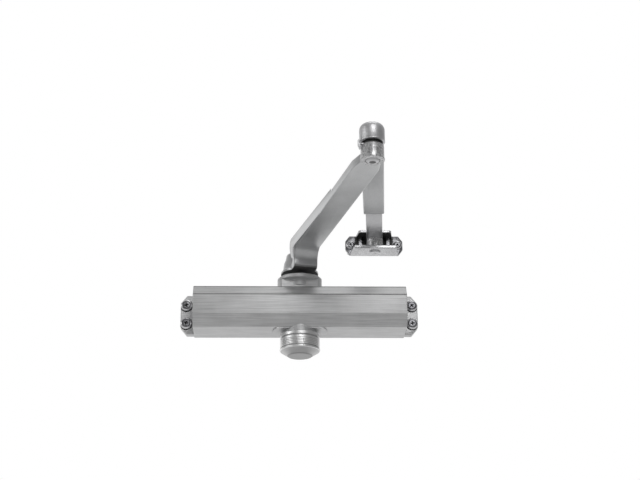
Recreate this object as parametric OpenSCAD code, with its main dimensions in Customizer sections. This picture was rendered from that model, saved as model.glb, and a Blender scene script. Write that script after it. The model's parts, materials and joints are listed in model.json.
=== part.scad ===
// Surface door closer with a regular two-piece arm, in its closed-door position.
// Origin: centre of the four-screw pattern on the door face of the body.
// +X runs along the body, +Y points into the door, +Z is up along the pinion.

/* [Body] */
// Length of the thick middle part
barrel_length = 214.2; // [210:0.2:218]
// Reach of each mounting lug past the thick part
lug_reach = 13.9; // [12.5:0.1:16]
// Depth from the door face to the front face
body_depth = 46.5; // [45.5:0.5:50]
// Height from the underside to the top
body_height = 42.8; // [42.2:0.2:46]
// Height of the flat front face between its two chamfers
front_height = 19.9; // [18:0.1:22]
// Depth taken by each long chamfer
chamfer_depth = 8.1; // [7:0.1:9]
// Bore of the piston chamber
bore_d = 32; // [31.6:0.1:32.4]
// Thickness of the mounting lugs
lug_thickness = 10; // [8:0.5:12]
// Distance from a screw hole to the end of its lug
hole_edge = 5.9; // [5.5:0.1:6.3]
// Distance between screw holes up the body
hole_spacing_z = 19.05; // [18.65:0.1:19.45]
// Diameter of the body screws
screw_d = 6; // [5:0.5:6.5]

/* [Pinion] */
// Diameter of the pinion shaft
shaft_d = 16; // [15.6:0.1:16.4]
// Across-flats size of the square end
square_size = 12; // [11:0.1:12.4]
// Number of teeth on the pinion
teeth = 8; // [8:1:8]
// Tooth module
tooth_module = 1.75; // [1.7:0.01:1.78]
// Travel of the pinion shown by the slot in the piston, in degrees
pinion_travel = 160; // [120:5:165]

/* [Main arm] */
// Distance from pinion to elbow
arm_reach = 251.8; // [240:0.5:260]
// Angle of the closed main arm from square to the door
arm_angle = 13.3; // [8:0.1:18]
// Width of the main arm
arm_width = 24.5; // [22:0.5:27]
// Thickness of the main arm
arm_thickness = 8; // [7:0.5:9]
// Diameter of the hub on the pinion
hub_d = 38; // [34:0.5:42]
// Height of the hub's underside above the body centre
hub_z = 38; // [37:0.5:40]
// Height of the hub
hub_height = 10; // [9:0.5:11]
// Height of the flat arm's underside above the body centre
arm_z = 57; // [55:0.5:60]

/* [Elbow] */
// Diameter of the boss on the end of the main arm
boss_d = 21; // [20:0.5:23]
// Height of that boss
boss_height = 13.6; // [12:0.2:15]
// Diameter of the elbow pin
elbow_pin_d = 9; // [8:0.5:10]
// Outer diameter of the domed elbow head
head_d = 22.4; // [21.6:0.2:24]
// Height of the domed elbow head
head_height = 16.6; // [16:0.2:19]

/* [Forearm] */
// Outer width of the forearm channel
channel_width = 20.5; // [19.7:0.1:22]
// Height of the forearm channel
channel_height = 10.4; // [10:0.1:11.4]
// Wall of the forearm channel
channel_wall = 1.9; // [1.6:0.1:2.2]
// Distance from the elbow to the open end of the channel
channel_end = 179; // [170:1:185]
// Thickness of the sliding rod
rod_thickness = 5; // [4.6:0.1:5.2]

/* [Shoe] */
// Distance from the pinion to the shoe pivot along the frame
shoe_x = 78.4; // [60:0.2:95]
// Distance from the frame face to the shoe pivot
shoe_standoff = 13.5; // [13:0.5:16]
// Width of the shoe base
shoe_width = 60; // [58:0.5:66]
// Height of the shoe base
shoe_height = 21.3; // [21:0.1:23]
// Distance between the two shoe screws
shoe_hole_spacing = 49; // [47:0.2:51]
// Diameter of the shoe screws
shoe_screw_d = 5; // [4:0.5:5.5]

/* [Hidden] */
$fn = 96;
eps = 0.01;
running = 0.05;     // radial clearance of a running fit
snug = 0.02;        // radial clearance of a fixed fit

// body
half_h = body_height / 2;
axis_y = -body_depth / 2;
bore_r = bore_d / 2;
counterbore_r = bore_r + 1.5;
plug_length = 14;
body_length = barrel_length + 2 * lug_reach;
hole_spacing_x = body_length - 2 * hole_edge;
lug_height = body_height - 1.8;
lug_corner_x = 6.5;
lug_corner_z = 8;
screw_head_d = 11.6;
screw_head_h = 3.8;
screw_length = 25;
valve_r = 2.5;
valve_length = 20;
valve_offset_y = -(bore_r - 2.4);
valve_offset_z = bore_r - 0.6;
valve_y = axis_y + valve_offset_y;
passage_r = 1.4;
way_length = 45.1;
cross_way_r = 1.1;
cross_way_depth = 9;
plug_groove = 9;
plug_groove_w = 2.4;
plug_groove_depth = 1.6;
plug_seal_r = 0.78;

// stack of pieces around the pinion
gland_d = 45;
gland_flange = 3.8;
boss_top = half_h + 8.3;
gland_top = boss_top + gland_flange;
boss_flat_y = -(body_depth - chamfer_depth) + 1.6;
bearing_r = shaft_d / 2 + 4;
bearing_start = bore_r + 0.3;
seal_pocket = 6;
bearing_end = boss_top - seal_pocket;
spigot_r = 15;
gland_pin_r = 15.5;
lower_pin_r = 11;
seal_height = 4;
neck_r = 17;
neck_drop = 9.6;
neck_end = -(half_h + neck_drop);
lower_bearing_length = 7.6;
lower_bearing_end = -(bearing_start + lower_bearing_length);
lower_seal_end = lower_bearing_end - seal_height;
lower_gland_r = 14;
pad_d = 55;
pad_height = 1.2;
cap_r = 19.9;
cap_top = -(half_h + 4.3);
cap_drop = 26;
cap_bottom = -(half_h + cap_drop);
cap_rim = 3.4;
cap_groove = 1.6;
cap_band = 8.6;
cap_bead = 2.4;
cap_face_r = 9.8;
cap_floor = 3;
cap_hollow_r = 12.5;
lower_square = 8;
shaft_r = shaft_d / 2;

// pinion and rack
pressure = 20;
pitch_r = teeth * tooth_module / 2;
base_r = pitch_r * cos(pressure);
shift = 0.93;
tip_r = pitch_r + tooth_module + shift - 0.48;
root_r = pitch_r - 1.25 * tooth_module + shift;
gear_half = 8;
rack_half = gear_half - 0.4;
rack_pitch = PI * tooth_module;
rack_line = pitch_r + shift;
rack_tip = rack_line - tooth_module;
rack_root = rack_line + 1.25 * tooth_module;
backlash = 0.12;
stroke = pitch_r * pinion_travel * PI / 180;

// piston and springs
piston_r = bore_r - running;
spring_end_length = 30;
piston_left = -spring_end_length;
front_end_length = 14;
slot_left = -(tip_r + 2.6);
slot_right = stroke + tip_r + 2.6;
piston_right = slot_right + front_end_length;
slot_front = tip_r + 0.6;
seat_place = 27.1;
seat_x = -(barrel_length / 2 - seat_place);
seat_thickness = 6;
power_r = 5;
power_length = 40;
power_collar = 3;
power_recess = 0.5;
screw_groove = 5;
screw_groove_w = 2.2;
screw_seal_r = 0.77;
ball_r = 3.2;
outer_coil_r = bore_r - 3.4;
outer_wire = 4.2;
inner_coil_r = 7.6;
inner_wire = 2.8;

// main arm
arm_heading = arm_angle - 90;
square_half = square_size / 2;
bend_inner = 7;
bend_outer = bend_inner + arm_thickness;
rise_z = arm_z - bend_inner;
toe_r = rise_z - hub_z;
toe_x = 14;
rise_x = toe_x + toe_r + bend_inner;
elbow = [arm_reach * sin(arm_angle), axis_y - arm_reach * cos(arm_angle)];
boss_top_z = arm_z + boss_height;
boss_rim = 0.9;
arm_neck = 21;
pin_r = elbow_pin_d / 2;
pin_head_r = 6.2;

// elbow head and forearm
washer_h = 2.7;
head_z = boss_top_z + washer_h + 0.1;
head_r = head_d / 2;
head_top = head_z + head_height;
bushing_r = pin_r + 2;
pin_top = head_top - 4.4;
clip_z = pin_top - 2;
channel_top = head_top - 0.4;
channel_z = channel_top - channel_height;
web_top = channel_z + channel_wall;
channel_start = head_r + 1.2;
rod_z = web_top + running;
rod_width = channel_width - 2 * channel_wall - 0.2;
rod_inside = 70;
shank_width = rod_width - 2;
shank_end = 44;
shoe_pivot = [shoe_x, -shoe_standoff];
forearm_run = shoe_pivot - elbow;
forearm_length = norm(forearm_run);
forearm_heading = atan2(forearm_run[1], forearm_run[0]);
rod_start = channel_end - rod_inside;
clamp_length = 22;
clamp_x = channel_end - clamp_length - 1;
clamp_hole_r = 3;
rivet_r = 2.5;
rivet_places = [22, 36];

// shoe
shoe_top = rod_z + rod_thickness + 3.2;
shoe_z = shoe_top - shoe_height;
base_t = 3;
bottom_t = 3.4;
top_t = 2.8;
shelf_depth = shoe_standoff + 11;
gap_low = shoe_z + bottom_t;
gap_high = shoe_top - top_t;
eye_r = 8.6;
shoe_pin_r = 4;
shoe_bush_r = 5.5;
shoe_mid = (gap_low + gap_high) / 2;
shoe_screw_head_d = 9;
shoe_screw_length = 22;

// ---- placing ----
module at_pinion() { translate([0, axis_y, 0]) children(); }
module along_arm() { translate([0, axis_y, 0]) rotate([0, 0, arm_heading]) children(); }
module along_forearm() { translate([elbow[0], elbow[1], 0]) rotate([0, 0, forearm_heading]) children(); }
module at_shoe() { translate([shoe_pivot[0], shoe_pivot[1], 0]) children(); }
module along_bore(x) { translate([x, axis_y, 0]) rotate([0, 90, 0]) children(); }

// ring between two heights on the Z axis
module ring(outer, inner, low, high) {
    translate([0, 0, low]) difference() {
        cylinder(r = outer, h = high - low);
        translate([0, 0, -1]) cylinder(r = inner, h = high - low + 2);
    }
}

// round rubber ring about the Z axis
module o_ring(mid_r, cord_r) {
    rotate_extrude() translate([mid_r, 0]) circle(r = cord_r, $fn = 32);
}

// ---- body ----
module body_outline() {
    front = -body_depth;
    shoulder = front + chamfer_depth;
    half_front = front_height / 2;
    polygon([[0, -half_h], [0, half_h], [shoulder, half_h], [front, half_front],
        [front, -half_front], [shoulder, -half_h]]);
}

// lug plate seen from the front, with its outer corners cut
module lug_outline() {
    half = lug_height / 2;
    end = body_length / 2;
    polygon([[-end, -half + lug_corner_z], [-end, half - lug_corner_z],
        [-end + lug_corner_x, half], [end - lug_corner_x, half],
        [end, half - lug_corner_z], [end, -half + lug_corner_z],
        [end - lug_corner_x, -half], [-end + lug_corner_x, -half]]);
}

// drilled way from a valve to the piston chamber
module valve_way(side, level) {
    mouth = barrel_length / 2;
    inner_x = mouth - way_length;
    slope = atan2(-level * valve_offset_z, -valve_offset_y);
    translate([side * mouth, valve_y, level * valve_offset_z]) rotate([0, -side * 90, 0]) {
        translate([0, 0, -1]) cylinder(r = valve_r + running, h = valve_length + 2);
        cylinder(r = passage_r, h = way_length);
    }
    for (x = [inner_x + 3, mouth - valve_length - 4])
        translate([side * x, valve_y, level * valve_offset_z]) rotate([slope, 0, 0])
            rotate([-90, 0, 0]) cylinder(r = cross_way_r, h = cross_way_depth);
}

module body_casting() {
    color([0.72, 0.73, 0.74]) difference() {
        union() {
            translate([-barrel_length / 2, 0, 0]) rotate([90, 0, 90])
                linear_extrude(barrel_length) body_outline();
            rotate([90, 0, 0]) linear_extrude(lug_thickness) lug_outline();
            intersection() {
                at_pinion() ring(gland_d / 2, 1, 0, boss_top);
                translate([-gland_d, boss_flat_y, -half_h + 1])
                    cube([2 * gland_d, -boss_flat_y, body_height + 20]);
            }
            intersection() {
                at_pinion() ring(pad_d / 2, 1, -half_h - pad_height, 0);
                translate([-pad_d, boss_flat_y - 1, -body_height])
                    cube([2 * pad_d, 1 - boss_flat_y, body_height]);
            }
            at_pinion() ring(neck_r, 1, neck_end, 0);
        }
        along_bore(-barrel_length / 2 - 1) cylinder(r = bore_r, h = barrel_length + 2);
        for (x = [-barrel_length / 2 - 1, barrel_length / 2 - plug_length])
            along_bore(x) cylinder(r = counterbore_r, h = plug_length + 1);
        at_pinion() {
            cylinder(r = bearing_r + snug, h = bearing_end);
            translate([0, 0, bearing_end - eps]) cylinder(r = spigot_r + snug, h = 20);
            translate([0, 0, lower_seal_end]) cylinder(r = bearing_r + snug, h = -lower_seal_end);
            translate([0, 0, neck_end - 1])
                cylinder(r = lower_gland_r + snug, h = lower_seal_end - neck_end + 1);
        }
        for (x = [-1, 1], z = [-1, 1])
            translate([x * hole_spacing_x / 2, 1, z * hole_spacing_z / 2]) rotate([90, 0, 0])
                cylinder(d = screw_d + 0.6, h = lug_thickness + 2);
        valve_way(1, 1);
        valve_way(1, -1);
        valve_way(-1, 1);
    }
}

// threaded end plug with a groove for its seal; z = 0 is the outer face
module end_plug() {
    difference() {
        cylinder(r = counterbore_r - snug, h = plug_length - 0.2);
        translate([0, 0, plug_groove])
            ring(counterbore_r + 1, counterbore_r - plug_groove_depth, 0, plug_groove_w);
    }
}

module spring_end_plug() {
    color([0.6, 0.6, 0.62]) along_bore(-barrel_length / 2) difference() {
        end_plug();
        translate([0, 0, -1]) cylinder(r = power_r + running, h = plug_length + 2);
        translate([0, 0, screw_groove]) cylinder(r = power_r + plug_groove_depth, h = screw_groove_w);
        for (a = [0, 180]) rotate([0, 0, a]) translate([11.5, 0, -1]) cylinder(r = 1.8, h = 5);
    }
}

module front_end_plug() {
    color([0.6, 0.6, 0.62]) translate([barrel_length / 2, axis_y, 0]) rotate([0, -90, 0]) difference() {
        end_plug();
        translate([0, 0, -1]) cylinder(d = 13.8, h = 7, $fn = 6);
    }
}

// seal half way along an end plug's groove; side is the end of the body
module plug_seal(side) {
    place = barrel_length / 2 - plug_groove - plug_groove_w / 2;
    along_bore(side * place) o_ring(counterbore_r - plug_seal_r - 0.03, plug_seal_r);
}

module spring_plug_seal() { color([0.08, 0.08, 0.08]) plug_seal(-1); }
module front_plug_seal() { color([0.08, 0.08, 0.08]) plug_seal(1); }

module power_screw_seal() {
    color([0.08, 0.08, 0.08]) along_bore(-barrel_length / 2 + screw_groove + screw_groove_w / 2)
        o_ring(power_r + screw_seal_r + 0.04, screw_seal_r);
}

module upper_bearing() {
    color([0.75, 0.6, 0.35]) at_pinion()
        ring(bearing_r, shaft_r + running, bearing_start, bearing_end);
}

module lower_bearing() {
    color([0.75, 0.6, 0.35]) at_pinion()
        ring(bearing_r, shaft_r + running, lower_bearing_end, -bearing_start);
}

// lip seal: a flanged rubber ring that hugs the shaft
module shaft_seal(low, high) {
    color([0.1, 0.1, 0.1]) at_pinion() difference() {
        ring(bearing_r - snug, shaft_r + running, low, high);
        translate([0, 0, (low + high) / 2 - 0.7]) ring(shaft_r + 1.6, shaft_r - 1, 0, 1.4);
    }
}

module upper_shaft_seal() { shaft_seal(bearing_end + eps, bearing_end + seal_height); }
module lower_shaft_seal() { shaft_seal(lower_seal_end, lower_bearing_end - eps); }

// threaded ring that closes the top of the boss and overhangs its cut front
module upper_gland() {
    color([0.7, 0.71, 0.72]) at_pinion() difference() {
        union() {
            ring(gland_d / 2, shaft_r + 0.5, boss_top, gland_top);
            ring(spigot_r, shaft_r + 0.5, bearing_end + eps, boss_top + 1);
        }
        translate([0, 0, bearing_end - 1]) cylinder(r = bearing_r, h = seal_height + 1);
        for (a = [45, 225]) rotate([0, 0, a]) translate([gland_pin_r, 0, gland_top - 2]) cylinder(r = 1.6, h = 3);
    }
}

module lower_gland() {
    color([0.6, 0.6, 0.62]) at_pinion() difference() {
        ring(lower_gland_r, shaft_r + 0.5, neck_end, lower_seal_end - eps);
        for (a = [0, 180]) rotate([0, 0, a]) translate([lower_pin_r, 0, neck_end - 1]) cylinder(r = 1.5, h = 3);
    }
}

// cover over the lower pinion end: rim, groove, ribbed band, bead and cone
module pinion_cap() {
    rim = cap_top - cap_rim;
    band = rim - cap_groove;
    bead = band - cap_band;
    cone = bead - cap_bead;
    color([0.8, 0.8, 0.8]) at_pinion() difference() {
        rotate_extrude() polygon([[0, cap_top], [cap_r - 0.5, cap_top], [cap_r, cap_top - 0.6],
            [cap_r, rim], [cap_r - 0.7, rim - 0.5], [cap_r - 0.7, band + 0.3], [cap_r, band],
            [cap_r, bead], [cap_r + 0.4, bead - 0.7], [cap_r + 0.4, cone + 0.5], [cap_r - 0.2, cone],
            [cap_face_r + 0.6, cap_bottom + 0.4], [cap_face_r, cap_bottom], [0, cap_bottom]]);
        translate([0, 0, neck_end - 0.2]) cylinder(r = neck_r + snug, h = 30);
        translate([0, 0, cap_bottom + cap_floor]) cylinder(r = cap_hollow_r, h = 30);
    }
}

// pan-head screw with a crossed recess: head on z = 0, plain neck as long as the grip, then thread
module pan_screw(d, grip, thread, head_d, head_h) {
    dome = head_d * 0.9;
    union() {
        difference() {
            intersection() {
                cylinder(d = head_d, h = head_h);
                translate([0, 0, head_h - dome]) sphere(r = dome, $fn = 96);
            }
            for (a = [0, 90]) rotate([0, 0, a]) translate([-head_d * 0.27, -head_d * 0.055, head_h - 2])
                cube([head_d * 0.54, head_d * 0.11, 3]);
            translate([0, 0, head_h - 2.2]) rotate([0, 0, 45]) cylinder(r = head_d * 0.11, h = 3, $fn = 4);
        }
        translate([0, 0, -grip]) cylinder(d = d + 0.4, h = grip + eps);
        translate([0, 0, -grip - thread]) cylinder(d = d, h = thread + eps);
    }
}

module body_screws() {
    color([0.85, 0.85, 0.87]) for (x = [-1, 1], z = [-1, 1])
        translate([x * hole_spacing_x / 2, -lug_thickness, z * hole_spacing_z / 2])
            rotate([90, 30 * x * z, 0])
                pan_screw(screw_d, lug_thickness, screw_length, screw_head_d, screw_head_h);
}

// slotted needle valve with a seal groove; z = 0 is the outer end
module valve_needle() {
    difference() {
        union() {
            cylinder(r = valve_r, h = valve_length - 3);
            translate([0, 0, valve_length - 3 - eps]) cylinder(r1 = valve_r, r2 = 0.6, h = 3);
        }
        translate([0, 0, 10]) ring(valve_r + 1, valve_r - 0.7, 0, 1.6);
        translate([-valve_r - 1, -0.5, -1]) cube([2 * valve_r + 2, 1, 2.4]);
    }
}

module at_valve(side, level) {
    translate([side * (barrel_length / 2 - 0.6), valve_y, level * valve_offset_z])
        rotate([0, -side * 90, 0]) children();
}

module sweep_valve() { color([0.8, 0.68, 0.35]) at_valve(1, 1) valve_needle(); }
module latch_valve() { color([0.8, 0.68, 0.35]) at_valve(1, -1) valve_needle(); }
module backcheck_valve() { color([0.8, 0.68, 0.35]) at_valve(-1, 1) valve_needle(); }
module valve_seal() { translate([0, 0, 10.8]) o_ring(valve_r - 0.34, 0.34); }
module sweep_valve_seal() { color([0.08, 0.08, 0.08]) at_valve(1, 1) valve_seal(); }
module latch_valve_seal() { color([0.08, 0.08, 0.08]) at_valve(1, -1) valve_seal(); }
module backcheck_valve_seal() { color([0.08, 0.08, 0.08]) at_valve(-1, 1) valve_seal(); }

// ---- pinion, piston and springs ----
// involute function in degrees
function inv(a) = tan(a) * 180 / PI - a;
tooth_half = (PI * tooth_module / 2 + 2 * shift * tan(pressure)) / (2 * pitch_r) * 180 / PI;
function flank_half(r) = tooth_half + inv(pressure) - inv(acos(min(1, base_r / r)));
flank = [for (i = [0:5]) base_r + (tip_r - base_r) * i / 5];
function polar(r, a) = [r * cos(a), r * sin(a)];

// pinion section with one tooth pointing along +Y
module pinion_section() {
    polygon([for (k = [0:teeth - 1]) let (mid = 90 + k * 360 / teeth) each concat(
        [polar(root_r, mid - flank_half(base_r))],
        [for (r = flank) polar(r, mid - flank_half(r))],
        [for (i = [5:-1:0]) polar(flank[i], mid + flank_half(flank[i]))],
        [polar(root_r, mid + flank_half(base_r))])]);
}

module square_end(low, high) {
    translate([0, 0, low]) intersection() {
        rotate([0, 0, arm_heading]) translate([-square_half, -square_half, 0])
            cube([square_size, square_size, high - low]);
        cylinder(r = shaft_r - 0.2, h = high - low);
    }
}

module pinion_shaft() {
    top = hub_z + hub_height - 0.6;
    color([0.62, 0.63, 0.65]) at_pinion() difference() {
        union() {
            translate([0, 0, -gear_half]) linear_extrude(2 * gear_half) pinion_section();
            translate([0, 0, gear_half - eps]) cylinder(r = shaft_r, h = hub_z - gear_half + eps);
            translate([0, 0, neck_end]) cylinder(r = shaft_r, h = -neck_end - gear_half + eps);
            square_end(hub_z - eps, top);
            square_end(neck_end - lower_square, neck_end + eps);
        }
        translate([0, 0, top - 18]) cylinder(r = 4 + snug, h = 20);
    }
}

// rack teeth cut as spaces into the back wall of the piston slot
module rack_space() {
    half = rack_pitch / 4 + backlash / 2;
    slope = tan(pressure);
    tip_half = half + (rack_line - rack_tip) * slope;
    root_half = half - (rack_root - rack_line) * slope;
    polygon([[-tip_half - 0.5 * slope, rack_tip - 0.5], [tip_half + 0.5 * slope, rack_tip - 0.5],
        [root_half, rack_root], [-root_half, rack_root]]);
}

module piston() {
    spaces = floor((slot_right - slot_left) / rack_pitch);
    first = ceil(slot_left / rack_pitch + 0.2);
    color([0.66, 0.67, 0.69]) difference() {
        along_bore(piston_left) cylinder(r = piston_r, h = piston_right - piston_left);
        translate([slot_left, axis_y - slot_front, -gear_half - 0.5])
            cube([slot_right - slot_left, slot_front + rack_tip, 2 * gear_half + 1]);
        for (z = [rack_half, -bore_r - 1])
            translate([slot_left, axis_y - slot_front, z])
                cube([slot_right - slot_left, slot_front + shaft_r + 0.6, bore_r + 1 - rack_half]);
        translate([0, axis_y, -gear_half - 0.5]) linear_extrude(2 * gear_half + 1)
            for (i = [0:spaces - 1]) translate([(first + i) * rack_pitch, 0]) rack_space();
        along_bore(slot_right - 1) cylinder(r = 1.8, h = 16);
        along_bore(piston_right - 10.4) cylinder(r = ball_r + 0.1, h = 11);
        along_bore(piston_right - 2.6) cylinder(r = 5.5 + snug, h = 4);
        along_bore(piston_left - 1) cylinder(r = 6.6, h = 9);
    }
}

module check_ball() {
    color([0.8, 0.8, 0.82]) translate([piston_right - 2.7 - ball_r, axis_y, 0]) sphere(r = ball_r, $fn = 48);
}

module check_retainer() {
    color([0.6, 0.6, 0.62]) along_bore(piston_right - 2.58) difference() {
        cylinder(r = 5.5, h = 2.5);
        for (a = [0, 120, 240]) rotate([0, 0, a]) translate([2.4, 0, -1]) cylinder(r = 0.9, h = 5);
    }
}

// coil spring along Z made by twisting the section that a round wire leaves in a flat cut
module coil(mid_r, wire, turns, length) {
    wire_r = wire / 2;
    pitch = length / turns;
    steps = 14;
    section = [for (i = [0:steps - 1]) let (a = i * 360 / steps)
        polar(mid_r + wire_r * cos(a), 360 * wire_r * sin(a) / pitch)];
    linear_extrude(length, twist = -360 * turns, slices = round(turns * 10), $fn = 14) polygon(section);
}

spring_low = seat_x + seat_thickness + 0.05;
spring_length = piston_left - spring_low - 0.05;

module outer_spring() {
    color([0.35, 0.36, 0.38]) along_bore(spring_low) coil(outer_coil_r, outer_wire, 5.5, spring_length);
}

module inner_spring() {
    color([0.35, 0.36, 0.38]) along_bore(spring_low) coil(inner_coil_r, inner_wire, 7, spring_length);
}

module power_screw() {
    color([0.62, 0.63, 0.65]) along_bore(-barrel_length / 2 + power_recess) difference() {
        union() {
            cylinder(r = power_r, h = power_length);
            translate([0, 0, plug_length - power_recess - 0.15]) cylinder(r = power_r + 3, h = power_collar);
        }
        translate([0, 0, -1]) cylinder(d = 5.8, h = 6, $fn = 6);
    }
}

module spring_seat() {
    color([0.6, 0.6, 0.62]) along_bore(seat_x) ring(bore_r - 0.1, power_r + running, 0, seat_thickness);
}

// ---- main arm ----
// points of an arc; first = 1 leaves out the point that it shares with the arc before it
function arc(mid, r, from, to, first = 0) =
    [for (i = [first:15]) mid + polar(r, from + (to - from) * i / 15)];

// side view of the arm, from the pinion axis outward: hub floor, rounded toe, bend and flat
module arm_profile() {
    bend_mid = [rise_x, rise_z];
    hub_top = hub_z + hub_height;
    polygon(concat([[0, hub_z]], arc([toe_x, rise_z], toe_r, -90, 0), arc(bend_mid, bend_inner, 180, 90, 1),
        [[arm_reach, arm_z], [arm_reach, arm_z + arm_thickness]], arc(bend_mid, bend_outer, 90, 180),
        [[rise_x - bend_outer, hub_top], [0, hub_top]]));
}

// plan of the arm: parallel bar that narrows into the elbow boss
module arm_plan() {
    half = arm_width / 2;
    neck = arm_reach - arm_neck;
    end = arm_reach - 2;
    end_half = boss_d / 2 - 1.6;
    polygon([[0, -half], [neck, -half], [end, -end_half], [end, end_half], [neck, half], [0, half]]);
}

module main_arm() {
    boss_r = boss_d / 2;
    color([0.72, 0.73, 0.74]) along_arm() difference() {
        union() {
            intersection() {
                rotate([90, 0, 0]) translate([0, 0, -arm_width]) linear_extrude(2 * arm_width) arm_profile();
                linear_extrude(arm_z + 30) arm_plan();
            }
            translate([0, 0, hub_z]) cylinder(d = hub_d, h = hub_height);
            translate([arm_reach, 0, arm_z]) rotate_extrude() polygon([[0, 0], [boss_r - boss_rim, 0],
                [boss_r, boss_rim], [boss_r, boss_height], [0, boss_height]]);
        }
        translate([-square_half - 0.05, -square_half - 0.05, hub_z - 1])
            cube([square_size + 0.1, square_size + 0.1, hub_height + 2]);
        translate([arm_reach, 0, arm_z - 1]) cylinder(r = pin_r + snug, h = boss_height + 2);
    }
}

module arm_washer() {
    top = hub_z + hub_height;
    color([0.75, 0.76, 0.78]) at_pinion() ring(10, 4.2, top, top + 2);
}

module arm_screw() {
    top = hub_z + hub_height + 2;
    color([0.75, 0.76, 0.78]) along_arm() union() {
        translate([0, 0, top - 16]) cylinder(r = 4, h = 16 + eps);
        translate([0, 0, top]) intersection() {
            cylinder(d = 15, h = 5, $fn = 6);
            cylinder(r1 = 9.5, r2 = 6.6, h = 5.01);
        }
    }
}

// ---- elbow ----
module elbow_pin() {
    head_h = 1.9;
    dome = (pin_head_r * pin_head_r + head_h * head_h) / (2 * head_h);
    color([0.7, 0.7, 0.72]) along_arm() translate([arm_reach, 0, 0]) difference() {
        union() {
            intersection() {
                translate([0, 0, arm_z - head_h + dome]) sphere(r = dome, $fn = 96);
                translate([0, 0, arm_z - head_h - 1]) cylinder(r = pin_head_r, h = head_h + 1);
            }
            translate([0, 0, arm_z - eps]) cylinder(r = pin_r, h = pin_top - arm_z);
        }
        translate([0, 0, clip_z]) ring(pin_r + 1, pin_r - 1, 0, 1);
    }
}

// thrust washer with one ear that folds down beside the boss and up past the head
module elbow_washer() {
    ear = 4.2;
    inner = boss_d / 2 + 0.3;
    outer = head_r + 1.9;
    strip = 1.1;
    color([0.8, 0.8, 0.8]) translate([elbow[0], elbow[1], 0]) union() {
        ring(8.4, pin_r + running, boss_top_z, boss_top_z + washer_h);
        rotate([0, 0, 196]) translate([0, ear / 2, boss_top_z]) rotate([90, 0, 0]) linear_extrude(ear)
            polygon([[pin_r + 2, 0.02], [inner, 0.02], [inner, -5], [inner + 0.7, -5], [outer, -1.2],
                [outer, 5.2], [outer - 0.9, 5.2], [outer - 0.9, strip], [pin_r + 2, strip]]);
    }
}

module elbow_clip() {
    color([0.3, 0.3, 0.32]) translate([elbow[0], elbow[1], clip_z + 0.05])
        ring(pin_r + 1.6, pin_r - 0.9, 0, 0.9);
}

// domed socket that turns on the elbow pin, with a flat shank for the channel
module forearm_head() {
    side_top = head_top - 2.9;
    round_r = 2.4;
    color([0.66, 0.67, 0.69]) along_forearm() difference() {
        union() {
            rotate_extrude() union() {
                polygon([[0, head_z], [head_r - 0.6, head_z], [head_r, head_z + 0.6],
                    [head_r, side_top - round_r + 1], [head_r - round_r, side_top + 1],
                    [5.4, head_top - 0.3], [0, head_top - 0.3]]);
                translate([head_r - round_r, side_top - round_r + 1]) circle(r = round_r, $fn = 64);
            }
            translate([4, -shank_width / 2, web_top]) cube([shank_end - 4, shank_width, 5.6]);
        }
        translate([0, 0, head_z - 1]) cylinder(r = bushing_r + snug, h = clip_z - head_z + 0.6);
        translate([0, 0, clip_z - 0.5]) cylinder(r = pin_r + 2.2, h = 3.4);
        translate([0, 0, clip_z]) cylinder(r = 5.2 + snug, h = 20);
        for (x = rivet_places) translate([x, 0, web_top - 1]) cylinder(r = rivet_r + snug, h = 9);
    }
}

module head_plug() {
    color([0.7, 0.7, 0.72]) along_forearm() union() {
        translate([0, 0, pin_top + 0.3]) cylinder(r = 5.2, h = head_top - pin_top - 0.7);
        translate([0, 0, head_top - 0.41]) cylinder(r1 = 5.2, r2 = 4.9, h = 0.6);
    }
}

module elbow_bushing() {
    color([0.75, 0.6, 0.35]) along_forearm() ring(bushing_r, pin_r + running, head_z, clip_z - 0.5);
}

// ---- forearm ----
module forearm_channel() {
    half = channel_width / 2;
    lip = 1.2;
    run = channel_end - channel_start;
    color([0.7, 0.71, 0.72]) along_forearm() difference() {
        translate([channel_start, -half, channel_z]) cube([run, channel_width, channel_height]);
        translate([channel_start - 1, -half + channel_wall, web_top])
            cube([run + 2, channel_width - 2 * channel_wall, channel_height]);
        for (x = rivet_places) translate([x, 0, channel_z - 1]) cylinder(r = rivet_r + snug, h = 9);
        for (s = [-1, 1]) translate([channel_start - 1, s * half, channel_z]) rotate([45, 0, 0])
            translate([0, -lip / 2, -lip / 2]) cube([run + 2, lip, lip]);
        for (s = [-1, 1]) translate([channel_start, s * (half + 2.1), channel_top]) rotate([0, 45, 0])
            translate([-3, -3, -3]) cube([6, 6, 6]);
    }
}

module forearm_rivets() {
    color([0.7, 0.7, 0.72]) along_forearm() for (x = rivet_places) translate([x, 0, 0]) union() {
        translate([0, 0, channel_z]) cylinder(r = rivet_r, h = web_top + 5.6 - channel_z + eps);
        translate([0, 0, web_top + 5.6]) cylinder(r1 = 4.2, r2 = 2.8, h = 1.8);
    }
}

// block welded over the channel, with two tapped holes above the rod
module clamp_block() {
    inner = channel_width - 2 * channel_wall - 0.1;
    low = rod_z + rod_thickness + 0.4;
    color([0.66, 0.67, 0.69]) along_forearm() translate([clamp_x, 0, 0]) difference() {
        union() {
            translate([0, -inner / 2, low]) cube([clamp_length, inner, channel_top - low + eps]);
            translate([0, -channel_width / 2, channel_top]) cube([clamp_length, channel_width, 3.2]);
        }
        for (x = [6, clamp_length - 6]) translate([x, 0, low - 1]) cylinder(r = clamp_hole_r + snug, h = 12);
    }
}

module clamp_screws() {
    tip = rod_z + rod_thickness + 0.05;
    top = channel_top + 3.2;
    color([0.3, 0.3, 0.32]) along_forearm() for (x = [6, clamp_length - 6])
        translate([clamp_x + x, 0, 0]) difference() {
            union() {
                translate([0, 0, tip]) cylinder(r = clamp_hole_r, h = top - tip + eps);
                translate([0, 0, top]) cylinder(r = 4.8, h = 4);
            }
            translate([0, 0, top + 1.4]) cylinder(d = 5.8, h = 4, $fn = 6);
        }
}

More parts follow.
